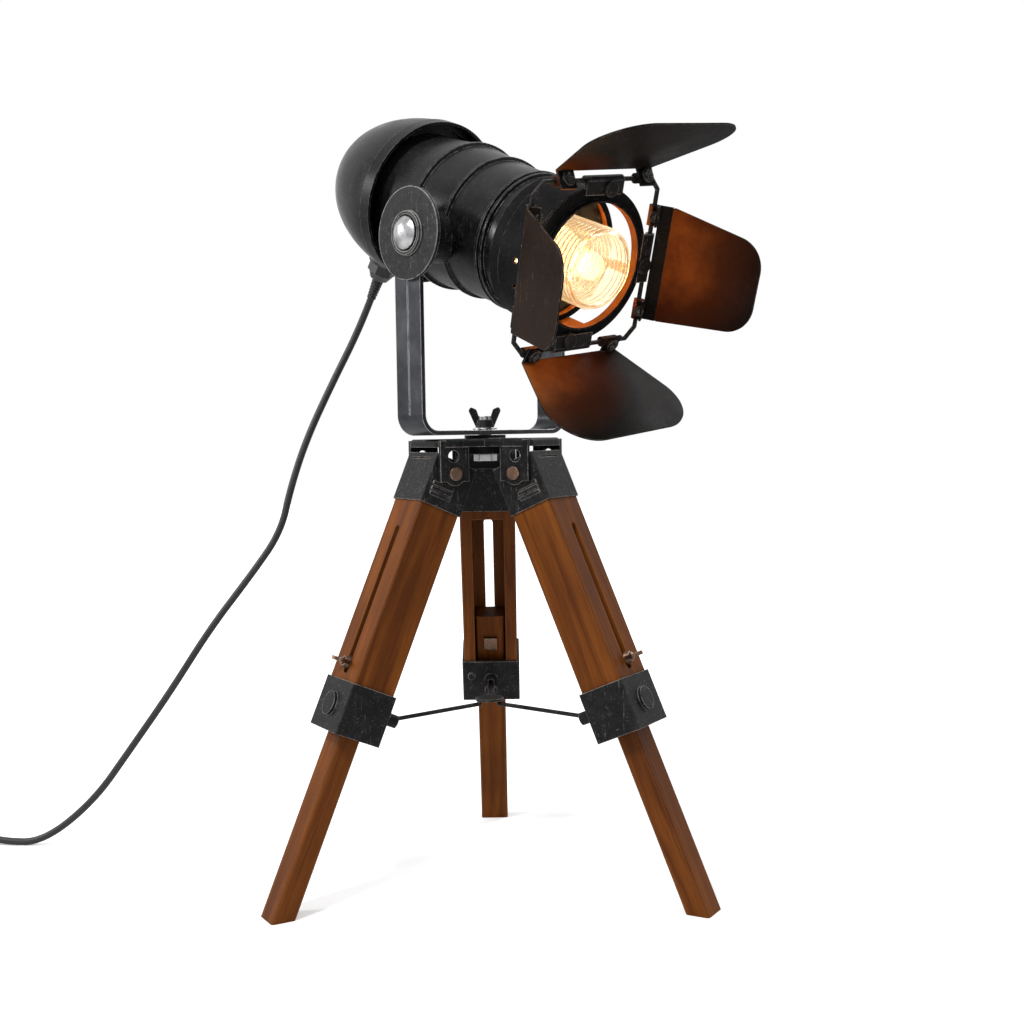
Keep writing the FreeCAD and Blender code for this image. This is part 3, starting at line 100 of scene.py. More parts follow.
def smooth(obj, angle):
    """Shades a mesh smooth, except at edges that bend by more than the angle in degrees."""
    obj.data.shade_smooth()
    obj.data.set_sharp_from_angle(angle=math.radians(angle))
    return obj


def grid_mesh(name, points, closed=False):
    """One quad between each four neighbours of points[u, v]. A closed grid is a tube: its
    last column joins its first, and one face covers each end."""
    nu, nv = points.shape[:2]
    iu, iv = np.meshgrid(np.arange(nu - 1), np.arange(nv if closed else nv - 1), indexing="ij")
    a = iu * nv + iv
    b = iu * nv + (iv + 1) % nv
    c = (iu + 1) * nv + (iv + 1) % nv
    d = (iu + 1) * nv + iv
    faces = np.stack([a, b, c, d], axis=-1).reshape(-1, 4).tolist()
    if closed:
        faces += [list(range(nv))[::-1], list(range((nu - 1) * nv, nu * nv))]
    mesh = bpy.data.meshes.new(name)
    mesh.from_pydata(points.reshape(-1, 3).tolist(), [], faces)
    mesh.validate()
    mesh.update()
    return link(name, mesh)


print("grid helpers ready")

# %% [markdown]
# ## A tube round a path
# A lead is a circle carried along a path. A curve object with a bevel does the
# same with less work, but it has no mesh of its own. Rings of points give the
# mesh itself.

# %% Rings round a path
FIRST_SIDE = (0.3, 0.8, 0.52)     # any direction that isn't along the path


def rings(path, radius, sides):
    """The ring at path point p is p + radius (cos a n + sin a b). Along the path each n is the
    one before it with its part along the path taken out, so the rings twist as little as
    they can; b is square to both. The loop runs over rings, as each needs the one before."""
    path = np.asarray(path, float)
    tangent = np.gradient(path, axis=0)
    tangent /= np.linalg.norm(tangent, axis=1)[:, None]
    normal = np.cross(tangent[0], FIRST_SIDE)
    normals = []
    for t in tangent:
        normal = normal - t * (normal @ t)
        normal /= np.linalg.norm(normal)
        normals.append(normal)
    n = np.array(normals)[:, None]
    b = np.cross(tangent, n[:, 0])[:, None]
    angle = np.linspace(0, 2 * np.pi, sides, endpoint=False)[None, :, None]
    return path[:, None] + radius * (np.cos(angle) * n + np.sin(angle) * b)


print("ring helper ready")

# %% [markdown]
# ## The mains lead: its route
# A round black lead leaves the strain relief at the back of the head, falls in a
# slack curve and runs out over the table to a rocker switch. A simulation could
# find how it hangs, but small changes of its settings would lay it elsewhere. So
# a few points were chosen, in millimetres, and a NURBS spline rounds them.

# %% The lead's route
LEAD_ROUTE = [
    (-96.33, 103.3, 465.33), (-108.07, 115.89, 440.76), (-133, 114, 393), (-155, 111, 347),
    (-169, 108, 306), (-178, 106, 268), (-205, 105, 231), (-240, 104, 187), (-276, 104, 132.5),
    (-312, 104.5, 83), (-345, 104, 38), (-390, 105, 3.05), (-424, 107, 3.05), (-448, 110, 9),
    (-470, 110, 9),
]
SPLINE_STEPS = 12     # straight steps from one control point to the next


def spline_line(points_mm):
    """Points in metres along a NURBS spline of order 3, whose control points are the given ones."""
    curve = bpy.data.curves.new("route", "CURVE")
    curve.dimensions = "3D"
    curve.resolution_u = SPLINE_STEPS
    spline = curve.splines.new("NURBS")
    spline.points.add(len(points_mm) - 1)
    flat = np.ones((len(points_mm), 4))
    flat[:, :3] = np.array(points_mm, float) * MM
    spline.points.foreach_set("co", flat.ravel())
    spline.order_u = 3
    spline.use_endpoint_u = True
    obj = bpy.data.objects.new("route", curve)
    mesh = bpy.data.meshes.new_from_object(obj)
    line = np.zeros(len(mesh.vertices) * 3)
    mesh.vertices.foreach_get("co", line)
    bpy.data.curves.remove(curve)
    bpy.data.meshes.remove(mesh)
    return line.reshape(-1, 3)


def length_of(line):
    """The sum of the distances from each point to the next."""
    return float(np.linalg.norm(np.diff(line, axis=0), axis=1).sum())


lead_line = spline_line(LEAD_ROUTE)
print("lead points", len(lead_line), "length", round(length_of(lead_line), 4))

# %% [markdown]
# ## The mains lead: two tubes
# The lead's top end moves with the head and its lower part has to give when the
# yoke turns. One tube can only be blended across one joint. So the lead is cut in
# two at a height where it hangs freely.

# %% The lead's two tubes
LEAD_THICKNESS = 6             # millimetres
CORD = LEAD_THICKNESS * MM
SPLIT_HEIGHT = 0.220
TUBE_SIDES = 20
END_ANGLE = 40                 # degrees, so that only the tubes' flat ends have a sharp edge

split = int(np.argmax(lead_line[:, 2] < SPLIT_HEIGHT))
upper_line, lower_line = lead_line[: split + 1], lead_line[split:]
lead_upper = smooth(grid_mesh("lead_upper", rings(upper_line, CORD / 2, TUBE_SIDES), closed=True), END_ANGLE)
lead_lower = smooth(grid_mesh("lead_lower", rings(lower_line, CORD / 2, TUBE_SIDES), closed=True), END_ANGLE)
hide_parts("cord_tube")
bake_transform(lead_upper)
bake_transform(lead_lower)

# %% [markdown]
# ## The mains lead: the coil
# The length that isn't needed lies wound beside the lamp, in two layers, with the
# plug on its end. A Screw modifier could wind one layer but can't turn back for
# the second. Here the radius and the height are functions of the turns made so
# far, which makes both layers and the step between them one line.

# %% The coil's points
COIL_CENTER = (-558.6, 149.0)
COIL_RADIUS = 39               # of the outermost turn's middle line
COIL_TURNS = 5.5
POINTS_PER_TURN = 16
INNER_STAY = 0.25              # turns on either side of the middle that keep the least radius
CLIMB = 0.2                    # turns on either side of the middle in which the lead climbs
SPLINE_GIVES = 1.012           # control points stand further out, as the spline runs inside them
FROM_SWITCH = [(-524.6, 110, 9), (-535, 110, 8.4), (-547, 109.8, 4)]
TO_PLUG = [(-541, 188, 9), (-524.6, 188, 9)]


def coil_points():
    """The turns run clockwise from the near side. Turn by turn the radius falls by one lead's
    thickness in the lower layer and grows again by as much in the upper one, which lies
    one thickness higher."""
    half = COIL_TURNS / 2
    inner = COIL_RADIUS - LEAD_THICKNESS * (half - INNER_STAY)
    low = LEAD_THICKNESS * 0.5
    high = LEAD_THICKNESS * 1.5
    t = np.linspace(0, COIL_TURNS, int(COIL_TURNS * POINTS_PER_TURN) + 1)
    radius = np.interp(t, [0, half - INNER_STAY, half + INNER_STAY, COIL_TURNS],
                       [COIL_RADIUS, inner, inner, COIL_RADIUS]) * SPLINE_GIVES
    height = np.interp(t, [0, half - CLIMB, half + CLIMB, COIL_TURNS], [low, low, high, high])
    angle = -np.pi / 2 - 2 * np.pi * t
    x = COIL_CENTER[0] + radius * np.cos(angle)
    y = COIL_CENTER[1] + radius * np.sin(angle)
    return FROM_SWITCH + np.stack([x, y, height], axis=1).tolist() + TO_PLUG


coil_line = spline_line(coil_points())
print("coil points", len(coil_line))

# %% The coil's tube
COIL_SIDES = 14

coil = smooth(grid_mesh("lead_coil", rings(coil_line, CORD / 2, COIL_SIDES), closed=True), END_ANGLE)
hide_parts("cord_coil")
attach(coil, "tripod_head")

# %% [markdown]
# ## The mains lead: what it is
# A game engine or a simulation may want to bend the lead by itself. A mesh can't
# tell it how thick or how stiff a lead is. The switch sits between the lower tube
# and the coil.

# %% [markdown]
# ## Materials from nodes
# A finish could be painted on an image, but an image needs unwrapping and blurs
# close up. Nodes work out a colour for any point of the piece, so they stay sharp.
# A few helpers keep the node trees short enough to read.

# %% Node helpers
def new_material(name):
    """A new material, its node tree and the shader node that everything ends in."""
    material = bpy.data.materials.new(name)
    material.use_nodes = True
    return material, material.node_tree, material.node_tree.nodes["Principled BSDF"]


def add(tree, kind, inputs=None, **settings):
    """One node: settings are its properties, inputs are values or sockets to link."""
    node = tree.nodes.new("ShaderNode" + kind)
    for key, value in settings.items():
        setattr(node, key, value)
    for key, value in (inputs or {}).items():
        if isinstance(value, bpy.types.NodeSocket):
            tree.links.new(value, node.inputs[key])
        else:
            node.inputs[key].default_value = value
    return node


print("node helpers ready")

# %% Noise, sums and mixes
def noise(tree, vector, scale, detail=4.0, roughness=0.6, distortion=0.0):
    """Soft random values around 0.5, about scale blobs to the metre."""
    return add(tree, "TexNoise", {"Vector": vector, "Scale": scale, "Detail": detail,
                                  "Roughness": roughness, "Distortion": distortion}).outputs["Fac"]


def remap(tree, value, low, high, to_low=0.0, to_high=1.0):
    """A straight line from (low, to_low) to (high, to_high), held level past both ends."""
    return add(tree, "MapRange", {"Value": value, "From Min": low, "From Max": high, "To Min": to_low,
                                  "To Max": to_high}).outputs["Result"]


def blend_colors(tree, factor, a, b):
    """Colour a where the factor is 0, colour b where it is 1."""
    node = add(tree, "Mix", {"Factor": factor}, data_type="RGBA")
    for socket, value in ((node.inputs[6], a), (node.inputs[7], b)):
        if isinstance(value, bpy.types.NodeSocket):
            tree.links.new(value, socket)
        else:
            socket.default_value = (*value, 1.0)
    return node.outputs[2]


def maths(tree, operation, a, b):
    """The sum, product or other result of two values."""
    return add(tree, "Math", {0: a, 1: b}, operation=operation).outputs[0]


def dot_product(tree, a, b):
    """How far two directions agree: 1 when they are the same, 0 when square to each other."""
    return add(tree, "VectorMath", {0: a, 1: b}, operation="DOT_PRODUCT").outputs["Value"]


print("value helpers ready")

# %% [markdown]
# ## Worn paint
# On the real lamp the paint is rubbed through along edges and scratched in
# places. The worn edges could be painted by hand on each piece. Instead a Bevel
# node looks a little way round every point: where it turns away from the true
# surface there is an edge, and noise breaks that line up into patches.

# %% Where the edges are
BEVEL_SAMPLES = 6
FLAT = 0.9995        # past this agreement with the true surface a point isn't on an edge


def edges(tree, radius, soft):
    """(rounded normal, mask): the mask is 1 on an edge and 0 on flat ground."""
    bevel = add(tree, "Bevel", {"Radius": radius}, samples=BEVEL_SAMPLES)
    geometry = add(tree, "NewGeometry")
    agreement = dot_product(tree, bevel.outputs[0], geometry.outputs["Normal"])
    return bevel.outputs[0], remap(tree, agreement, 1.0 - soft, FLAT, 1.0, 0.0)


print("edge mask ready")

# %% Scratches and a painted sheen
SCRATCH_RUNS = (((0.3, 0.9, 0.2), (1, 0.02, 1)), ((0.7, -0.5, 1.1), (1, 1, 0.02)))
PAINTED_SHEEN_FACES = (-0.42, -0.30, 0.86)     # the way that faces look where the painted sheen is strongest


def scratch_lines(tree, place, patch, share):
    """Two sets of thin lines in two directions: noise drawn out to fifty times its width,
    cut off high, and kept only where the patches are strong."""
    for turn, squeeze in SCRATCH_RUNS:
        drawn = add(tree, "Mapping", {"Vector": place, "Rotation": turn, "Scale": squeeze}).outputs[0]
        lines = remap(tree, noise(tree, drawn, 1300.0, 1.0, 0.5), 0.64, 0.74)
        yield maths(tree, "MULTIPLY", lines, remap(tree, patch, 0.46, 0.66, 0.0, share))


def with_painted_sheen(tree, ground, cloud, painted_sheen):
    """The ground colour, with a cloudy painted sheen that grows as a face looks upward."""
    facing = add(tree, "TexCoord").outputs["Normal"]
    upward = dot_product(tree, facing, PAINTED_SHEEN_FACES)
    sheen_share = maths(tree, "MULTIPLY", remap(tree, upward, 0.62, 1.0), remap(tree, cloud, 0.3, 0.7, 0.35, 1.0))
    return blend_colors(tree, sheen_share, ground, painted_sheen)


print("scratches and dust ready")

# %% The worn finish
def worn_metal(name, dark, light, bare, rough, wear, metallic=0.0, specular=0.5, radius=0.9 * MM,
               mottle=55.0, grain=900.0, bump=0.25, streak=(1, 1, 1), scratch=0.0, painted_sheen=None):
    """A finish mottled from dark to light and grained along streak. The share wear of its edges
    and scuffs and the share scratch of its scratches show the colour bare, and a painted
    sheen, the colour of the last argument, lies on what looks up. Dark blobs are a little
    smoother than light ones."""
    material, tree, shader = new_material(name)
    place = add(tree, "TexCoord").outputs["Object"]
    stretched = add(tree, "Mapping", {"Vector": place, "Scale": streak}).outputs[0]
    cloud = noise(tree, place, mottle, 5.0, 0.62)
    fine = noise(tree, stretched, grain, 3.0, 0.7)
    patch = noise(tree, place, 190.0, 4.0, 0.7)
    normal, edge = edges(tree, radius, 0.14)
    rubbed = maths(tree, "MULTIPLY", edge, remap(tree, patch, 0.62 - wear * 0.35, 0.72 - wear * 0.2))
    scuffs = maths(tree, "MULTIPLY", remap(tree, fine, 0.62, 0.8), remap(tree, cloud, 0.5, 0.75, 0.0, 0.5))
    bare_share = maths(tree, "MAXIMUM", rubbed, maths(tree, "MULTIPLY", scuffs, wear))
    if scratch:
        for lines in scratch_lines(tree, place, patch, scratch):
            bare_share = maths(tree, "MAXIMUM", bare_share, lines)
    ground = blend_colors(tree, remap(tree, cloud, 0.32, 0.72), dark, light)
    # A painted sheen: the colour turns lighter where a face looks up.
    if painted_sheen:
        ground = with_painted_sheen(tree, ground, cloud, painted_sheen)
    tree.links.new(blend_colors(tree, bare_share, ground, bare), shader.inputs["Base Color"])
    unevenness = maths(tree, "ADD", cloud, maths(tree, "MULTIPLY", fine, 0.5))
    gloss = remap(tree, unevenness, 0.5, 1.0, rough - 0.1, rough + 0.14)
    tree.links.new(gloss, shader.inputs["Roughness"])
    shader.inputs["Metallic"].default_value = metallic
    shader.inputs["Specular IOR Level"].default_value = specular
    height = maths(tree, "ADD", fine, maths(tree, "MULTIPLY", cloud, 2.0))
    relief = add(tree, "Bump", {"Height": height, "Normal": normal, "Strength": bump, "Distance": 0.25 * MM})
    tree.links.new(relief.outputs[0], shader.inputs["Normal"])
    return material


print("worn finish ready")

# %% [markdown]
# ## The lamp's metals and plastics
# The head has satin black paint, the brackets and castings a rougher black, the
# yoke a darkened grey steel, and a few nuts and pins are bare. Each could have a
# node tree of its own. One recipe with other numbers was chosen, because then
# all of them wear in the same way, as pieces of one lamp do.

# %% Black paints and grey steel
# The head's paint turns lighter on what looks up: a painted sheen.
head_black = worn_metal(
    "head_black", dark=(0.0016, 0.0016, 0.0018), light=(0.0060, 0.0062, 0.0068), bare=(0.20, 0.195, 0.19),
    # The head's scratches are bare metal lines, strong enough to stand in for painted highlight streaks too.
    rough=0.30, wear=0.6, specular=0.14, mottle=40.0, bump=0.2, scratch=0.34, painted_sheen=(0.0150, 0.0151, 0.0158))
bracket_black = worn_metal(
    "bracket_black", dark=(0.0035, 0.0035, 0.0038), light=(0.015, 0.015, 0.016), bare=(0.30, 0.28, 0.26),
    rough=0.44, wear=0.85, specular=0.10, radius=1.0 * MM, mottle=80.0, bump=0.7, streak=(1, 1, 0.25),
    scratch=0.55)
yoke_grey = worn_metal(
    "yoke_grey", dark=(0.016, 0.017, 0.020), light=(0.050, 0.052, 0.057), bare=(0.50, 0.50, 0.50),
    rough=0.34, wear=1.1, metallic=0.6, specular=0.3, radius=0.9 * MM, mottle=40.0, streak=(1, 1, 0.04))
disc_black = worn_metal(
    "disc_black", dark=(0.0045, 0.0045, 0.0048), light=(0.024, 0.024, 0.025), bare=(0.36, 0.35, 0.34),
    rough=0.50, wear=1.0, specular=0.10, radius=1.6 * MM, mottle=150.0, grain=420.0, bump=1.0, scratch=0.5)
print("paints ready")

# %% Bare metals
bright_steel = worn_metal(
    "bright_steel", dark=(0.30, 0.30, 0.31), light=(0.55, 0.55, 0.56), bare=(0.80, 0.80, 0.80),
    rough=0.26, wear=0.5, metallic=1.0, mottle=120.0, grain=1400.0, bump=0.15)
copper_pin = worn_metal(
    "copper_pin", dark=(0.075, 0.050, 0.035), light=(0.22, 0.13, 0.085), bare=(0.55, 0.42, 0.34),
    rough=0.40, wear=0.6, metallic=0.9, mottle=160.0)
blade_brass = worn_metal(
    "blade_brass", dark=(0.48, 0.36, 0.17), light=(0.66, 0.52, 0.28), bare=(0.85, 0.75, 0.50),
    rough=0.30, wear=0.4, metallic=1.0, mottle=180.0, bump=0.1)
print("bare metals ready")

# %% Holder, rubber and plastic
holder_black = worn_metal(
    "holder_black", dark=(0.020, 0.012, 0.008), light=(0.060, 0.030, 0.016), bare=(0.20, 0.11, 0.06),
    rough=0.50, wear=0.5, metallic=0.3, specular=0.35)
rubber = worn_metal(
    "rubber", dark=(0.008, 0.008, 0.008), light=(0.016, 0.016, 0.016), bare=(0.03, 0.03, 0.03),
    rough=0.46, wear=0.1, specular=0.4, mottle=70.0, grain=2200.0, bump=0.1, radius=0.4 * MM)
hard_plastic = worn_metal(
    "hard_plastic", dark=(0.011, 0.011, 0.012), light=(0.019, 0.019, 0.020), bare=(0.06, 0.06, 0.06),
    rough=0.38, wear=0.2, specular=0.5, mottle=90.0, grain=1700.0, bump=0.12, radius=0.7 * MM)
print("rubber and plastics ready")

# %% [markdown]
# ## Which way the head looks
# Several later steps need directions that belong to the head: the doors' glow,
# their screws and the cable gland. They could be typed in as numbers. Three
# angles were chosen instead, from which all the directions follow.

# %% The head's directions
HEAD_ORIGIN = Vector((0.0, 0.0, 0.512))
HEAD_TURN = math.radians(-47)      # from +X, seen from above
HEAD_DIP = math.radians(21)        # nose down
RING_ROLL = math.radians(8)        # by which the ring with the doors is turned round the barrel
LENS_AHEAD = 0.128                 # of the head's origin

ahead_level = Vector((math.cos(HEAD_TURN), math.sin(HEAD_TURN), 0))
upright = Vector((0, 0, 1))
HEAD_AXIS = ahead_level * math.cos(HEAD_DIP) - upright * math.sin(HEAD_DIP)
head_up = ahead_level * math.sin(HEAD_DIP) + upright * math.cos(HEAD_DIP)
head_side = HEAD_AXIS.cross(head_up)
toward_near = head_side * math.cos(RING_ROLL) - head_up * math.sin(RING_ROLL)
toward_up = head_up * math.cos(RING_ROLL) + head_side * math.sin(RING_ROLL)
LENS_CENTER = HEAD_ORIGIN + HEAD_AXIS * LENS_AHEAD
print("head looks along", tuple(HEAD_AXIS), "doors' up", tuple(toward_up))

# %% [markdown]
# ## Doors in the lamp's own light
# The lit glass throws a warm glow on the inner faces of the doors and on the
# ring. Light alone could make it, but then it washes out wherever the scene's
# other lights are strong. So the glow is painted light: the paint itself turns
# from black to bronze where a face looks at the glass from close by, and stays
# black elsewhere.

# %% The painted glow on black paint
GLOW_DIM_PAINT = (0.070, 0.017, 0.004)
GLOW_BRIGHT_PAINT = (0.44, 0.130, 0.026)


def painted_glow_metal(name, center, start, reach, share, front=0.58,
              dark=(0.0035, 0.0033, 0.0034), light=(0.0110, 0.0104, 0.0106)):
    """Black paint with a painted glow of the lamp's light, the product of four terms: how near
    the point is to center (all of it up to start metres, none past reach), how far its face
    looks at center, how little it looks further ahead along the barrel than front, and a
    cloudy share."""
    material = worn_metal(name, dark, light, (0.20, 0.185, 0.17), 0.46, 0.6, specular=0.018,
                          radius=0.5 * MM, mottle=26.0, bump=0.3, scratch=0.2)
    tree = material.node_tree
    shader = tree.nodes["Principled BSDF"]
    coords = add(tree, "TexCoord").outputs
    ends = {0: tuple(center), 1: coords["Object"]}
    to_lamp = add(tree, "VectorMath", ends, operation="SUBTRACT").outputs[0]
    away = add(tree, "VectorMath", {0: to_lamp}, operation="LENGTH").outputs["Value"]
    unit = add(tree, "VectorMath", {0: to_lamp}, operation="NORMALIZE").outputs[0]
    facing = dot_product(tree, unit, coords["Normal"])
    ahead = dot_product(tree, tuple(HEAD_AXIS), coords["Normal"])
    cloud = noise(tree, coords["Object"], 30.0, 5.0, 0.65)
    near = remap(tree, away, start, reach, 1.0, 0.0)
    painted_glow_share = maths(tree, "MULTIPLY", near, remap(tree, facing, 0.02, 0.3))
    painted_glow_share = maths(tree, "MULTIPLY", painted_glow_share, remap(tree, ahead, front, front + 0.09, 1.0, 0.0))
    painted_glow_share = maths(tree, "MULTIPLY", painted_glow_share, remap(tree, cloud, 0.25, 0.7, 0.7 * share, 1.15 * share))
    paint = shader.inputs["Base Color"].links[0].from_socket
    # The painted glow: the black paint turns bronze where the glass would light the face.
    painted_glow_tone = blend_colors(tree, remap(tree, painted_glow_share, 0.3, 1.0), GLOW_DIM_PAINT, GLOW_BRIGHT_PAINT)
    tree.links.new(blend_colors(tree, remap(tree, painted_glow_share, 0.0, 0.5), paint, painted_glow_tone), shader.inputs["Base Color"])
    return material


print("glow ready")

# %% The doors' and the ring's painted glow
painted_glow_finish = {
    "top": painted_glow_metal("door_top_painted_glow", LENS_CENTER + toward_near * 0.050, 0.045, 0.092, 0.95),
    "far": painted_glow_metal("door_far_painted_glow", LENS_CENTER + HEAD_AXIS * 0.022 + toward_up * 0.010,
                     0.054, 0.108, 0.74, 0.40),
    "bottom": painted_glow_metal("door_bottom_painted_glow", LENS_CENTER + toward_near * 0.050 + HEAD_AXIS * 0.012,
                        0.058, 0.112, 0.75),
    "near": painted_glow_metal("door_near_painted_glow", LENS_CENTER, 0.055, 0.120, 0.8,
                      dark=(0.0060, 0.0036, 0.0026), light=(0.0230, 0.0130, 0.0088)),
    "ring": painted_glow_metal("ring_painted_glow", LENS_CENTER, 0.060, 0.100, 0.8),
}
print("lit finishes", list(painted_glow_finish))

# %% [markdown]
# ## Glass
# The front glass is pressed and ribbed, with a warm cast from the bulb behind it.
# A Glass shader would do for a clean pane. A Principled shader with transmission
# was chosen because it can also give off a little warm light: a painted glow that
# stands for the bulb's light caught in the glass.

# %% The ribbed glass
GLASS_PAINTED_GLOW = 0.14


def ribbed_glass_material():
    """Clear glass, faintly amber; slow noise gives it tiny waves and uneven gloss."""
    material, tree, shader = new_material("clear_ribbed_glass")
    place = add(tree, "TexCoord").outputs["Object"]
    waves = noise(tree, place, 70.0, 3.0, 0.5)
    shader.inputs["Base Color"].default_value = (1.0, 0.93, 0.82, 1.0)
    shader.inputs["Transmission Weight"].default_value = 1.0
    shader.inputs["IOR"].default_value = 1.47
    # The glass's painted glow: warm light of its own, for the bulb's light caught in it.
    shader.inputs["Emission Color"].default_value = (1.0, 0.68, 0.34, 1.0)
    shader.inputs["Emission Strength"].default_value = GLASS_PAINTED_GLOW
    tree.links.new(remap(tree, waves, 0.3, 0.7, 0.02, 0.10), shader.inputs["Roughness"])
    relief = add(tree, "Bump", {"Height": waves, "Strength": 0.25, "Distance": 0.4 * MM})
    tree.links.new(relief.outputs[0], shader.inputs["Normal"])
    return material


glass = ribbed_glass_material()
print("glass", glass.name)

# %% [markdown]
# ## The lit bulb
# The bulb is a plain screw bulb, alight. A filament could be modelled in clear
# glass, but behind the ribs only the bulb's brightness counts. So the bulb's own
# surface gives off warm light, over a faintly mottled coating.

# %% The bulb
BULB_GLOW = 40.0


def lit_bulb_material():
    """A mottled pale coating, with warm light of the same strength all over."""
    material, tree, shader = new_material("lit_pearl_bulb")
    place = add(tree, "TexCoord").outputs["Object"]
    mottled = noise(tree, place, 110.0, 3.0, 0.5)
    coating = blend_colors(tree, mottled, (0.90, 0.80, 0.60), (0.98, 0.92, 0.80))
    tree.links.new(coating, shader.inputs["Base Color"])
    tree.links.new(remap(tree, mottled, 0.3, 0.7, 0.25, 0.4), shader.inputs["Roughness"])
    shader.inputs["Emission Color"].default_value = (1.0, 0.74, 0.40, 1.0)
    shader.inputs["Emission Strength"].default_value = BULB_GLOW
    return material


bulb_glow = lit_bulb_material()
print("bulb", bulb_glow.name)

# %% [markdown]
# ## Stained wood
# The legs are of brown stained wood, a little paler where the edges are worn. A
# Wave texture gives neat rings, more like a drawing than like timber. Noise
# drawn out along the leg was chosen: slow noise for the bands of the grain and
# fast noise for its pores. Each leg has a grain direction of its own.

# %% The wood's recipe
STAIN_DARK = (0.068, 0.0170, 0.0028)
STAIN_LIGHT = (0.200, 0.0600, 0.0095)
STAIN_CLOUD = (0.066, 0.0190, 0.0048)
PORE = (0.050, 0.014, 0.005)
WORN_WOOD = (0.280, 0.112, 0.042)


def stained_wood(name, axis, seed):
    """Bands and pores are noise squeezed to a few hundredths along the axis. Bands mix dark and
    light stain, clouds and pores darken it, and edges are worn paler."""
    material, tree, shader = new_material(name)
    place = add(tree, "TexCoord").outputs["Object"]
    upended = Vector(axis).rotation_difference(Vector((0, 0, 1))).to_euler()
    along = add(tree, "Mapping", {"Vector": place, "Rotation": upended, "Location": (seed, seed * 0.7, 0)},
                vector_type="POINT").outputs[0]
    long_grain = add(tree, "Mapping", {"Vector": along, "Scale": (1.0, 1.0, 0.06)}).outputs[0]
    pores = add(tree, "Mapping", {"Vector": along, "Scale": (1.0, 1.0, 0.035)}).outputs[0]
    bands = noise(tree, long_grain, 120.0, 6.0, 0.62, 0.6)
    cloud = noise(tree, along, 14.0, 3.0, 0.5)
    fleck = noise(tree, pores, 1500.0, 2.0, 0.6)
    normal, edge = edges(tree, 1.3 * MM, 0.16)
    brown = blend_colors(tree, remap(tree, bands, 0.34, 0.68), STAIN_DARK, STAIN_LIGHT)
    shaded = blend_colors(tree, remap(tree, cloud, 0.35, 0.7, 0.0, 0.6), brown, STAIN_CLOUD)
    dotted = blend_colors(tree, remap(tree, fleck, 0.56, 0.78, 0.0, 0.6), shaded, PORE)
    worn = maths(tree, "MULTIPLY", edge, remap(tree, cloud, 0.25, 0.6, 0.25, 0.85))
    tree.links.new(blend_colors(tree, worn, dotted, WORN_WOOD), shader.inputs["Base Color"])
    tree.links.new(remap(tree, bands, 0.3, 0.7, 0.42, 0.60), shader.inputs["Roughness"])
    shader.inputs["Specular IOR Level"].default_value = 0.07
    height = maths(tree, "ADD", maths(tree, "MULTIPLY", bands, 0.6), fleck)
    relief = add(tree, "Bump", {"Height": height, "Normal": normal, "Strength": 0.22, "Distance": 0.2 * MM})
    tree.links.new(relief.outputs[0], shader.inputs["Normal"])
    return material


print("wood recipe ready")

# %% One wood for each leg
LEG_BEARING = {"left": math.radians(210), "right": math.radians(330), "back": math.radians(90)}
SPLAY = math.radians(23.3)
SEED_STEP = 0.31

wood = {}
for seed, (leg, bearing) in enumerate(LEG_BEARING.items()):
    down = (math.cos(bearing) * math.sin(SPLAY), math.sin(bearing) * math.sin(SPLAY), -math.cos(SPLAY))
    wood[leg] = stained_wood("wood_" + leg, down, SEED_STEP * seed)
print("wood ready", list(wood))

# %% [markdown]
# ## Giving out the finishes
# Each solid has one finish on the real lamp. They could be given one by one in
# the Properties editor. A table was chosen, because it shows at a glance which
# piece is made of what, and its last line tells whether a piece was forgotten.

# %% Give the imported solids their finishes
FINISH = {
    "rear_dome": head_black, "barrel_shell": head_black, "front_bezel": painted_glow_finish["ring"],
    "ring_standoffs": painted_glow_finish["ring"], "door_ring": painted_glow_finish["ring"],
    "hinge_rod_frame": bracket_black, "hinge_lugs": bracket_black, "lug_rivets": bracket_black,
    "pivot_pads": bracket_black, "pivot_studs": bright_steel, "pivot_nuts": bright_steel,
    "lamp_holder": holder_black, "bulb_base": blade_brass, "bulb_envelope": bulb_glow,
    "ribbed_glass": glass, "glass_retainer": copper_pin, "cable_gland": hard_plastic,
    "strain_relief": rubber, "yoke_strap": yoke_grey, "yoke_discs": disc_black,
    "top_wing_nut": bracket_black, "top_casting": bracket_black, "center_bolt": bright_steel,
    "hinge_pins": copper_pin, "stay_hub": bracket_black, "switch_case": hard_plastic,
    "switch_rocker": hard_plastic, "plug_body": hard_plastic, "plug_blades": blade_brass,
}
for side in ("top", "far", "bottom", "near"):
    FINISH["door_" + side] = painted_glow_finish[side]
    FINISH["door_screws_" + side] = bracket_black
for leg in LEG_BEARING:
    FINISH.update({"upper_leg_" + leg: wood[leg], "lower_leg_" + leg: wood[leg],
                   "leg_cap_" + leg: bracket_black, "leg_collar_" + leg: bracket_black,
                   "slot_bolt_" + leg: copper_pin, "slot_wing_nut_" + leg: copper_pin,
                   "stay_rod_" + leg: bracket_black})
for node, material in FINISH.items():
    for slot in nodes[node].material_slots:
        slot.material = material
for obj in (lead_upper, lead_lower, coil):
    obj.data.materials.append(rubber)
print("finishes given", len(FINISH), "without one:", sorted(set(nodes) - set(FINISH)))

# %% [markdown]
# ## Turned pieces
# Screw heads and sleeves are round about an axis. A Spin or a Screw modifier
# could make them from a profile. A grid over station and angle was chosen,
# because a slot or a cross can then be pressed into it point by point.

# %% A piece turned about an axis
def square_axes(axis):
    """Two directions square to the axis and to each other."""
    side = np.cross(axis, (0.0, 0.0, 1.0) if abs(axis[2]) < 0.9 else (1.0, 0.0, 0.0))
    side /= np.linalg.norm(side)
    return side, np.cross(axis, side)


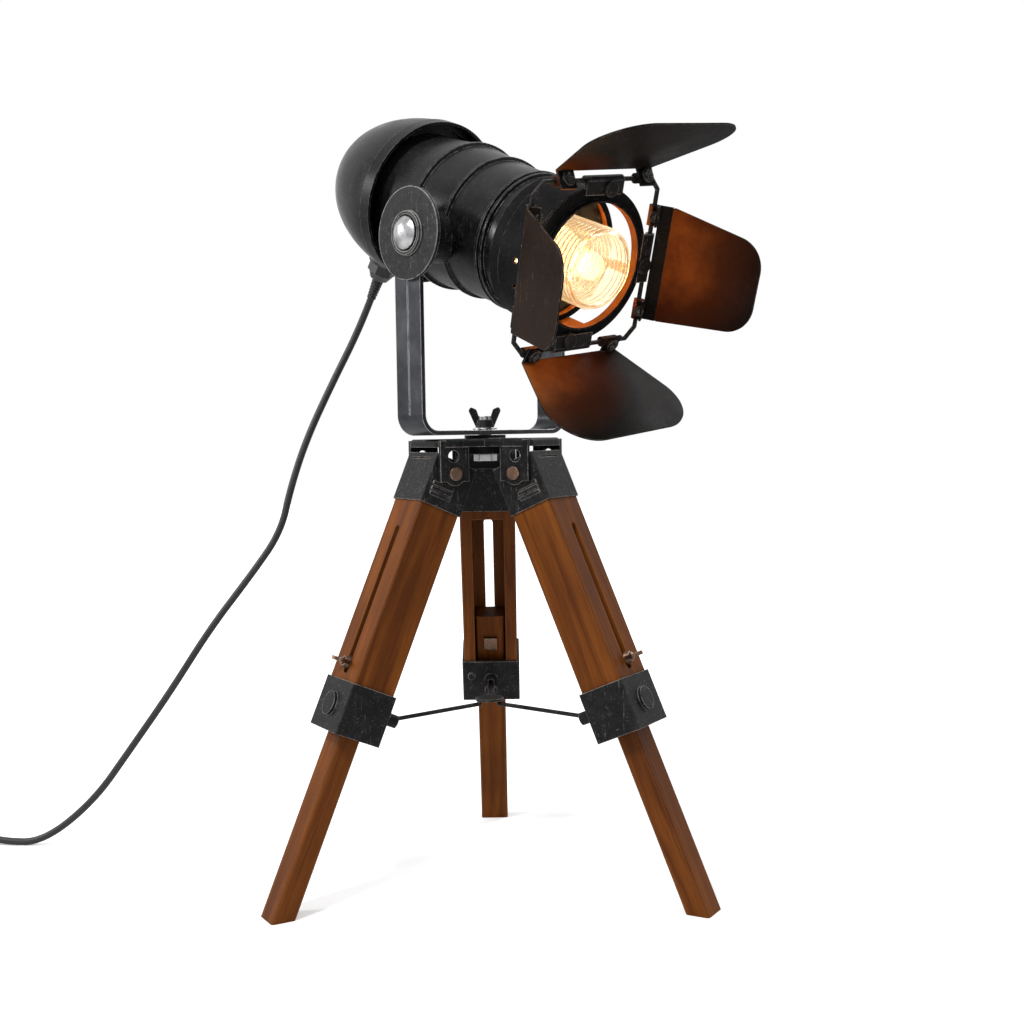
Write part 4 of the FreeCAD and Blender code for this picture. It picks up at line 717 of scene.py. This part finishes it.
def turned(name, place, axis, stations, radii, sides, press=None):
    """Points place + s axis + r (cos a u + sin a v), where the radius r belongs to the station
    s. press(x, y, s) gives the new s of a point at x, y across the axis."""
    axis = np.array(axis, float) / np.linalg.norm(axis)
    u, v = square_axes(axis)
    angle = np.linspace(0, 2 * np.pi, sides, endpoint=False)
    x = np.outer(radii, np.cos(angle))
    y = np.outer(radii, np.sin(angle))
    s = np.repeat(np.array(stations, float)[:, None], sides, axis=1)
    if press is not None:
        s = press(x, y, s)
    points = np.array(place) + s[..., None] * axis + x[..., None] * u + y[..., None] * v
    return grid_mesh(name, points[:, ::-1], closed=True)


print("turning helper ready")

# %% [markdown]
# ## The doors' screws
# Two pan head screws with crossed slots stand on each door's ears. A Boolean
# modifier could cut the cross, but it leaves long thin faces that shade badly.
# Pressing the slots into a domed grid keeps the rim round and the slots soft.

# %% A screw head
HEAD_SIDES = 72
SLOT_DEPTH = 0.40      # as a share of the head's height


def soft_step(value, edge, width):
    """0 below the edge, 1 above it, and a straight ramp of the given width between."""
    return np.clip((value - edge) / width + 0.5, 0, 1)


def screw_head(name, place, axis, radius, height):
    """The top stands at height (0.72 + 0.28 sqrt(1 - (r/R)^2)). A point is in the cross when it
    lies close to the x or the y line and not too far out, and is then pressed down."""
    def press(x, y, s):
        across = np.minimum(abs(x), abs(y)) / radius
        along = np.maximum(abs(x), abs(y)) / radius
        slot = (1 - soft_step(across, 0.13, 0.09)) * (1 - soft_step(along, 0.62, 0.12))
        return s - slot * height * SLOT_DEPTH * (s > height * 0.5)
    ring = np.concatenate([np.linspace(0.02, 0.93, 26), [0.985, 1.0, 1.0, 0.97]])
    top = height * (0.72 + 0.28 * np.sqrt(1 - np.minimum(ring, 0.999) ** 2))
    top[-2:] = (0.10 * height, 0.0)
    return turned(name, place, axis, top[::-1], ring[::-1] * radius, HEAD_SIDES, press)


print("screw head ready")

# %% Where the doors are
HINGE_AHEAD = 119.5    # millimetres ahead of the head's origin
HINGE_OUT = 60.5       # millimetres from the barrel's axis
# Each door: the way out from the axis, the way along its hinge, how far it is open in
# degrees, and how far its middle is moved along the hinge in millimetres.
DOORS = {
    "top": (toward_up, -toward_near, 32.0, 3.9),
    "bottom": (-toward_up, toward_near, 21.0, 4.6),
    "near": (toward_near, toward_up, 21.5, 1.9),
    "far": (-toward_near, -toward_up, 13.0, 2.5),
}


def door_frame(side):
    """The hinge's middle in millimetres and the door's own three directions: ahead in its
    plane, along the hinge, and square to both."""
    outward, along_hinge, opened, moved = DOORS[side]
    base = HEAD_ORIGIN / MM + HEAD_AXIS * HINGE_AHEAD + outward * HINGE_OUT + along_hinge * moved
    x_axis = HEAD_AXIS * math.cos(math.radians(opened)) + outward * math.sin(math.radians(opened))
    return (np.array(part, float) for part in (base, x_axis, along_hinge, x_axis.cross(along_hinge)))


print("doors", list(DOORS))

# %% Screw heads on the doors' ears
EAR_FACE = 4.55        # millimetres from the hinge to the ear's outer face
HEAD_HEIGHT = 3.0
# Each door's screws: their distance from the door's middle, how far they stand below its
# plane, the bend of the ears in degrees, and the head's radius.
SCREWS = {
    "top": (38.5, 0.0, 0.0, 5.2),
    "bottom": (38.5, 0.0, 0.0, 5.2),
    "near": (35.5, 2.8, 22.0, 4.0),
    "far": (35.5, 2.8, 22.0, 4.0),
}

for side, (along, drop, bend, radius) in SCREWS.items():
    base, x_axis, y_axis, z_axis = door_frame(side)
    turn = math.radians(bend)
    out = x_axis * math.cos(turn) - z_axis * math.sin(turn)
    rise = z_axis * math.cos(turn) + x_axis * math.sin(turn)
    for number, way in enumerate((-1, 1)):
        seat = (base + out * EAR_FACE + y_axis * way * along - rise * drop) * MM
        head = smooth(screw_head(f"screw_{side}_{number}", seat, out, radius * MM, HEAD_HEIGHT * MM), 35)
        head.data.materials.append(bracket_black)
        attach(head, "door_" + side)
        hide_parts("door_screws_" + side)

# %% [markdown]
# ## The strain relief
# A tapered rubber sleeve keeps the lead from kinking where it leaves the head. Its
# grooves could be cut rings of their own. Here they are a wave in the sleeve's
# radius, so that the sleeve stays one closed skin.

# %% Where the cable gland is
GLAND_BACK = 106               # millimetres behind the head's origin
GLAND_BELOW = 57.5             # millimetres below the barrel's axis
GLAND_DIP = math.radians(55)   # below level, toward the back

gland_place = np.array(HEAD_ORIGIN - (HEAD_AXIS * GLAND_BACK + head_up * GLAND_BELOW) * MM)
gland_axis = np.array(-ahead_level * math.cos(GLAND_DIP) - upright * math.sin(GLAND_DIP))
print("gland at", gland_place, "along", gland_axis)

# %% Strain relief with its bending grooves
RELIEF_START = 12.5            # millimetres from the gland's middle
RELIEF_END = 37.4
RELIEF_WIDE = 5.4              # radius at the gland
RELIEF_NARROW = 3.7            # radius at the free end
RELIEF_GROOVES = 6
GROOVE_DEPTH = 0.75
GROOVES_FROM = 0.28            # shares of the sleeve's length
GROOVES_OVER = 0.66

stations = np.linspace(RELIEF_START, RELIEF_END, 110)
share = (stations - RELIEF_START) / (RELIEF_END - RELIEF_START)
through = np.clip((share - GROOVES_FROM) / GROOVES_OVER, 0, 1)
wave = 0.5 - 0.5 * np.cos(2 * np.pi * through * RELIEF_GROOVES)
grooves = GROOVE_DEPTH * np.clip(wave * 2.0 - 0.8, 0, 1)
relief_radii = RELIEF_WIDE + (RELIEF_NARROW - RELIEF_WIDE) * share - grooves
relief = smooth(turned("relief_sleeve", gland_place, gland_axis, stations * MM, relief_radii * MM, 36), 50)
relief.data.materials.append(rubber)
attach(relief, "lamp_head")
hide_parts("strain_relief")
print("strain relief from", round(relief_radii[0], 2), "to", round(relief_radii[-1], 2), "mm in radius")

# %% [markdown]
# ## The floor
# The lamp stands on a plain white ground. A real white floor under soft light
# renders grey. Rather than more light, which would flatten the lamp, the floor
# gets a little glow that only the camera sees, stronger further out, so that it
# reads as white and still keeps the lamp's shadow.

# %% Floor
FLOOR_HALF = 6.0


def floor_material():
    """Pale grey with fine specks. For the camera the glow rises from 0.3 near the lamp to 1."""
    material, tree, shader = new_material("pale_floor")
    place = add(tree, "TexCoord").outputs["Object"]
    speckle = noise(tree, place, 300.0, 2.0, 0.5)
    pale = blend_colors(tree, speckle, (0.80, 0.80, 0.80), (0.84, 0.84, 0.84))
    tree.links.new(pale, shader.inputs["Base Color"])
    shader.inputs["Roughness"].default_value = 0.9
    shader.inputs["Specular IOR Level"].default_value = 0.1
    shader.inputs["Emission Color"].default_value = (1, 1, 1, 1)
    away = add(tree, "VectorMath", {0: place}, operation="LENGTH").outputs["Value"]
    camera_only = add(tree, "LightPath").outputs["Is Camera Ray"]
    floor_glow = maths(tree, "MULTIPLY", camera_only, remap(tree, away, 0.45, 1.1, 0.30, 1.0))
    tree.links.new(floor_glow, shader.inputs["Emission Strength"])
    return material


left_edge = [[-FLOOR_HALF, FLOOR_HALF, 0.0], [-FLOOR_HALF, -FLOOR_HALF, 0.0]]
right_edge = [[FLOOR_HALF, FLOOR_HALF, 0.0], [FLOOR_HALF, -FLOOR_HALF, 0.0]]
floor = grid_mesh("floor", np.array([left_edge, right_edge]))
floor.data.materials.append(floor_material())
print("floor faces", len(floor.data.polygons), "normal", tuple(floor.data.polygons[0].normal))

# %% [markdown]
# ## The surroundings
# A picture of a studio could light the lamp, but this lesson uses no images. A
# plain white world does it: seen directly, in gloss and through glass it is fully
# white, and as a light it is dimmer, so that the lamp keeps its shadows.

# %% World
AS_LIGHT = 0.55
AS_SEEN = 1.0

world = bpy.data.worlds.new("surroundings")
scene.world = world
world.use_nodes = True
tree = world.node_tree
ray = add(tree, "LightPath").outputs
seen = maths(tree, "MAXIMUM", ray["Is Camera Ray"], ray["Is Glossy Ray"])
seen = maths(tree, "MAXIMUM", seen, ray["Is Transmission Ray"])
background = tree.nodes["Background"]
background.inputs["Color"].default_value = (1, 1, 1, 1)
tree.links.new(remap(tree, seen, 0.0, 1.0, AS_LIGHT, AS_SEEN), background.inputs["Strength"])
print("world", world.name)

# %% [markdown]
# ## The lights
# Three soft lights model the lamp: a key from the front left, a weaker one from
# the side and a rim light from behind. Sun lamps would be simpler but give hard
# shadows everywhere. A small warm light in front of the glass stands for what the
# lamp itself throws on its doors, and it rides on the head.

# %% Lights
def area_light(name, place, target, size, power):
    """A square light of the given size in metres and power in watts, aimed at the target."""
    lamp = bpy.data.lights.new(name, "AREA")
    lamp.energy = power
    lamp.size = size
    obj = link(name, lamp)
    aim = Vector(target) - Vector(place)
    obj.matrix_world = Matrix.Translation(place) @ aim.to_track_quat("-Z", "Y").to_matrix().to_4x4()
    return obj


area_light("key", (-0.55, -0.95, 1.55), (0, 0, 0.40), 0.28, 20)
area_light("side", (-1.3, -0.1, 0.9), (0, 0, 0.45), 0.26, 9)
area_light("rim", (0.75, 0.55, 1.25), (0, 0, 0.45), 0.40, 8)

# %% The lamp's own glow
GLOW_AHEAD = 0.146

glow = bpy.data.lights.new("lamp_glow", "POINT")
glow.energy = 0.13
glow.shadow_soft_size = 0.012
glow.color = (1.0, 0.50, 0.18)
glow_at = link("lamp_glow", glow)
glow_at.location = HEAD_ORIGIN + HEAD_AXIS * GLOW_AHEAD
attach(glow_at, "lamp_head")
scene.view_settings.view_transform = "Standard"
print("glow at", tuple(glow_at.location))
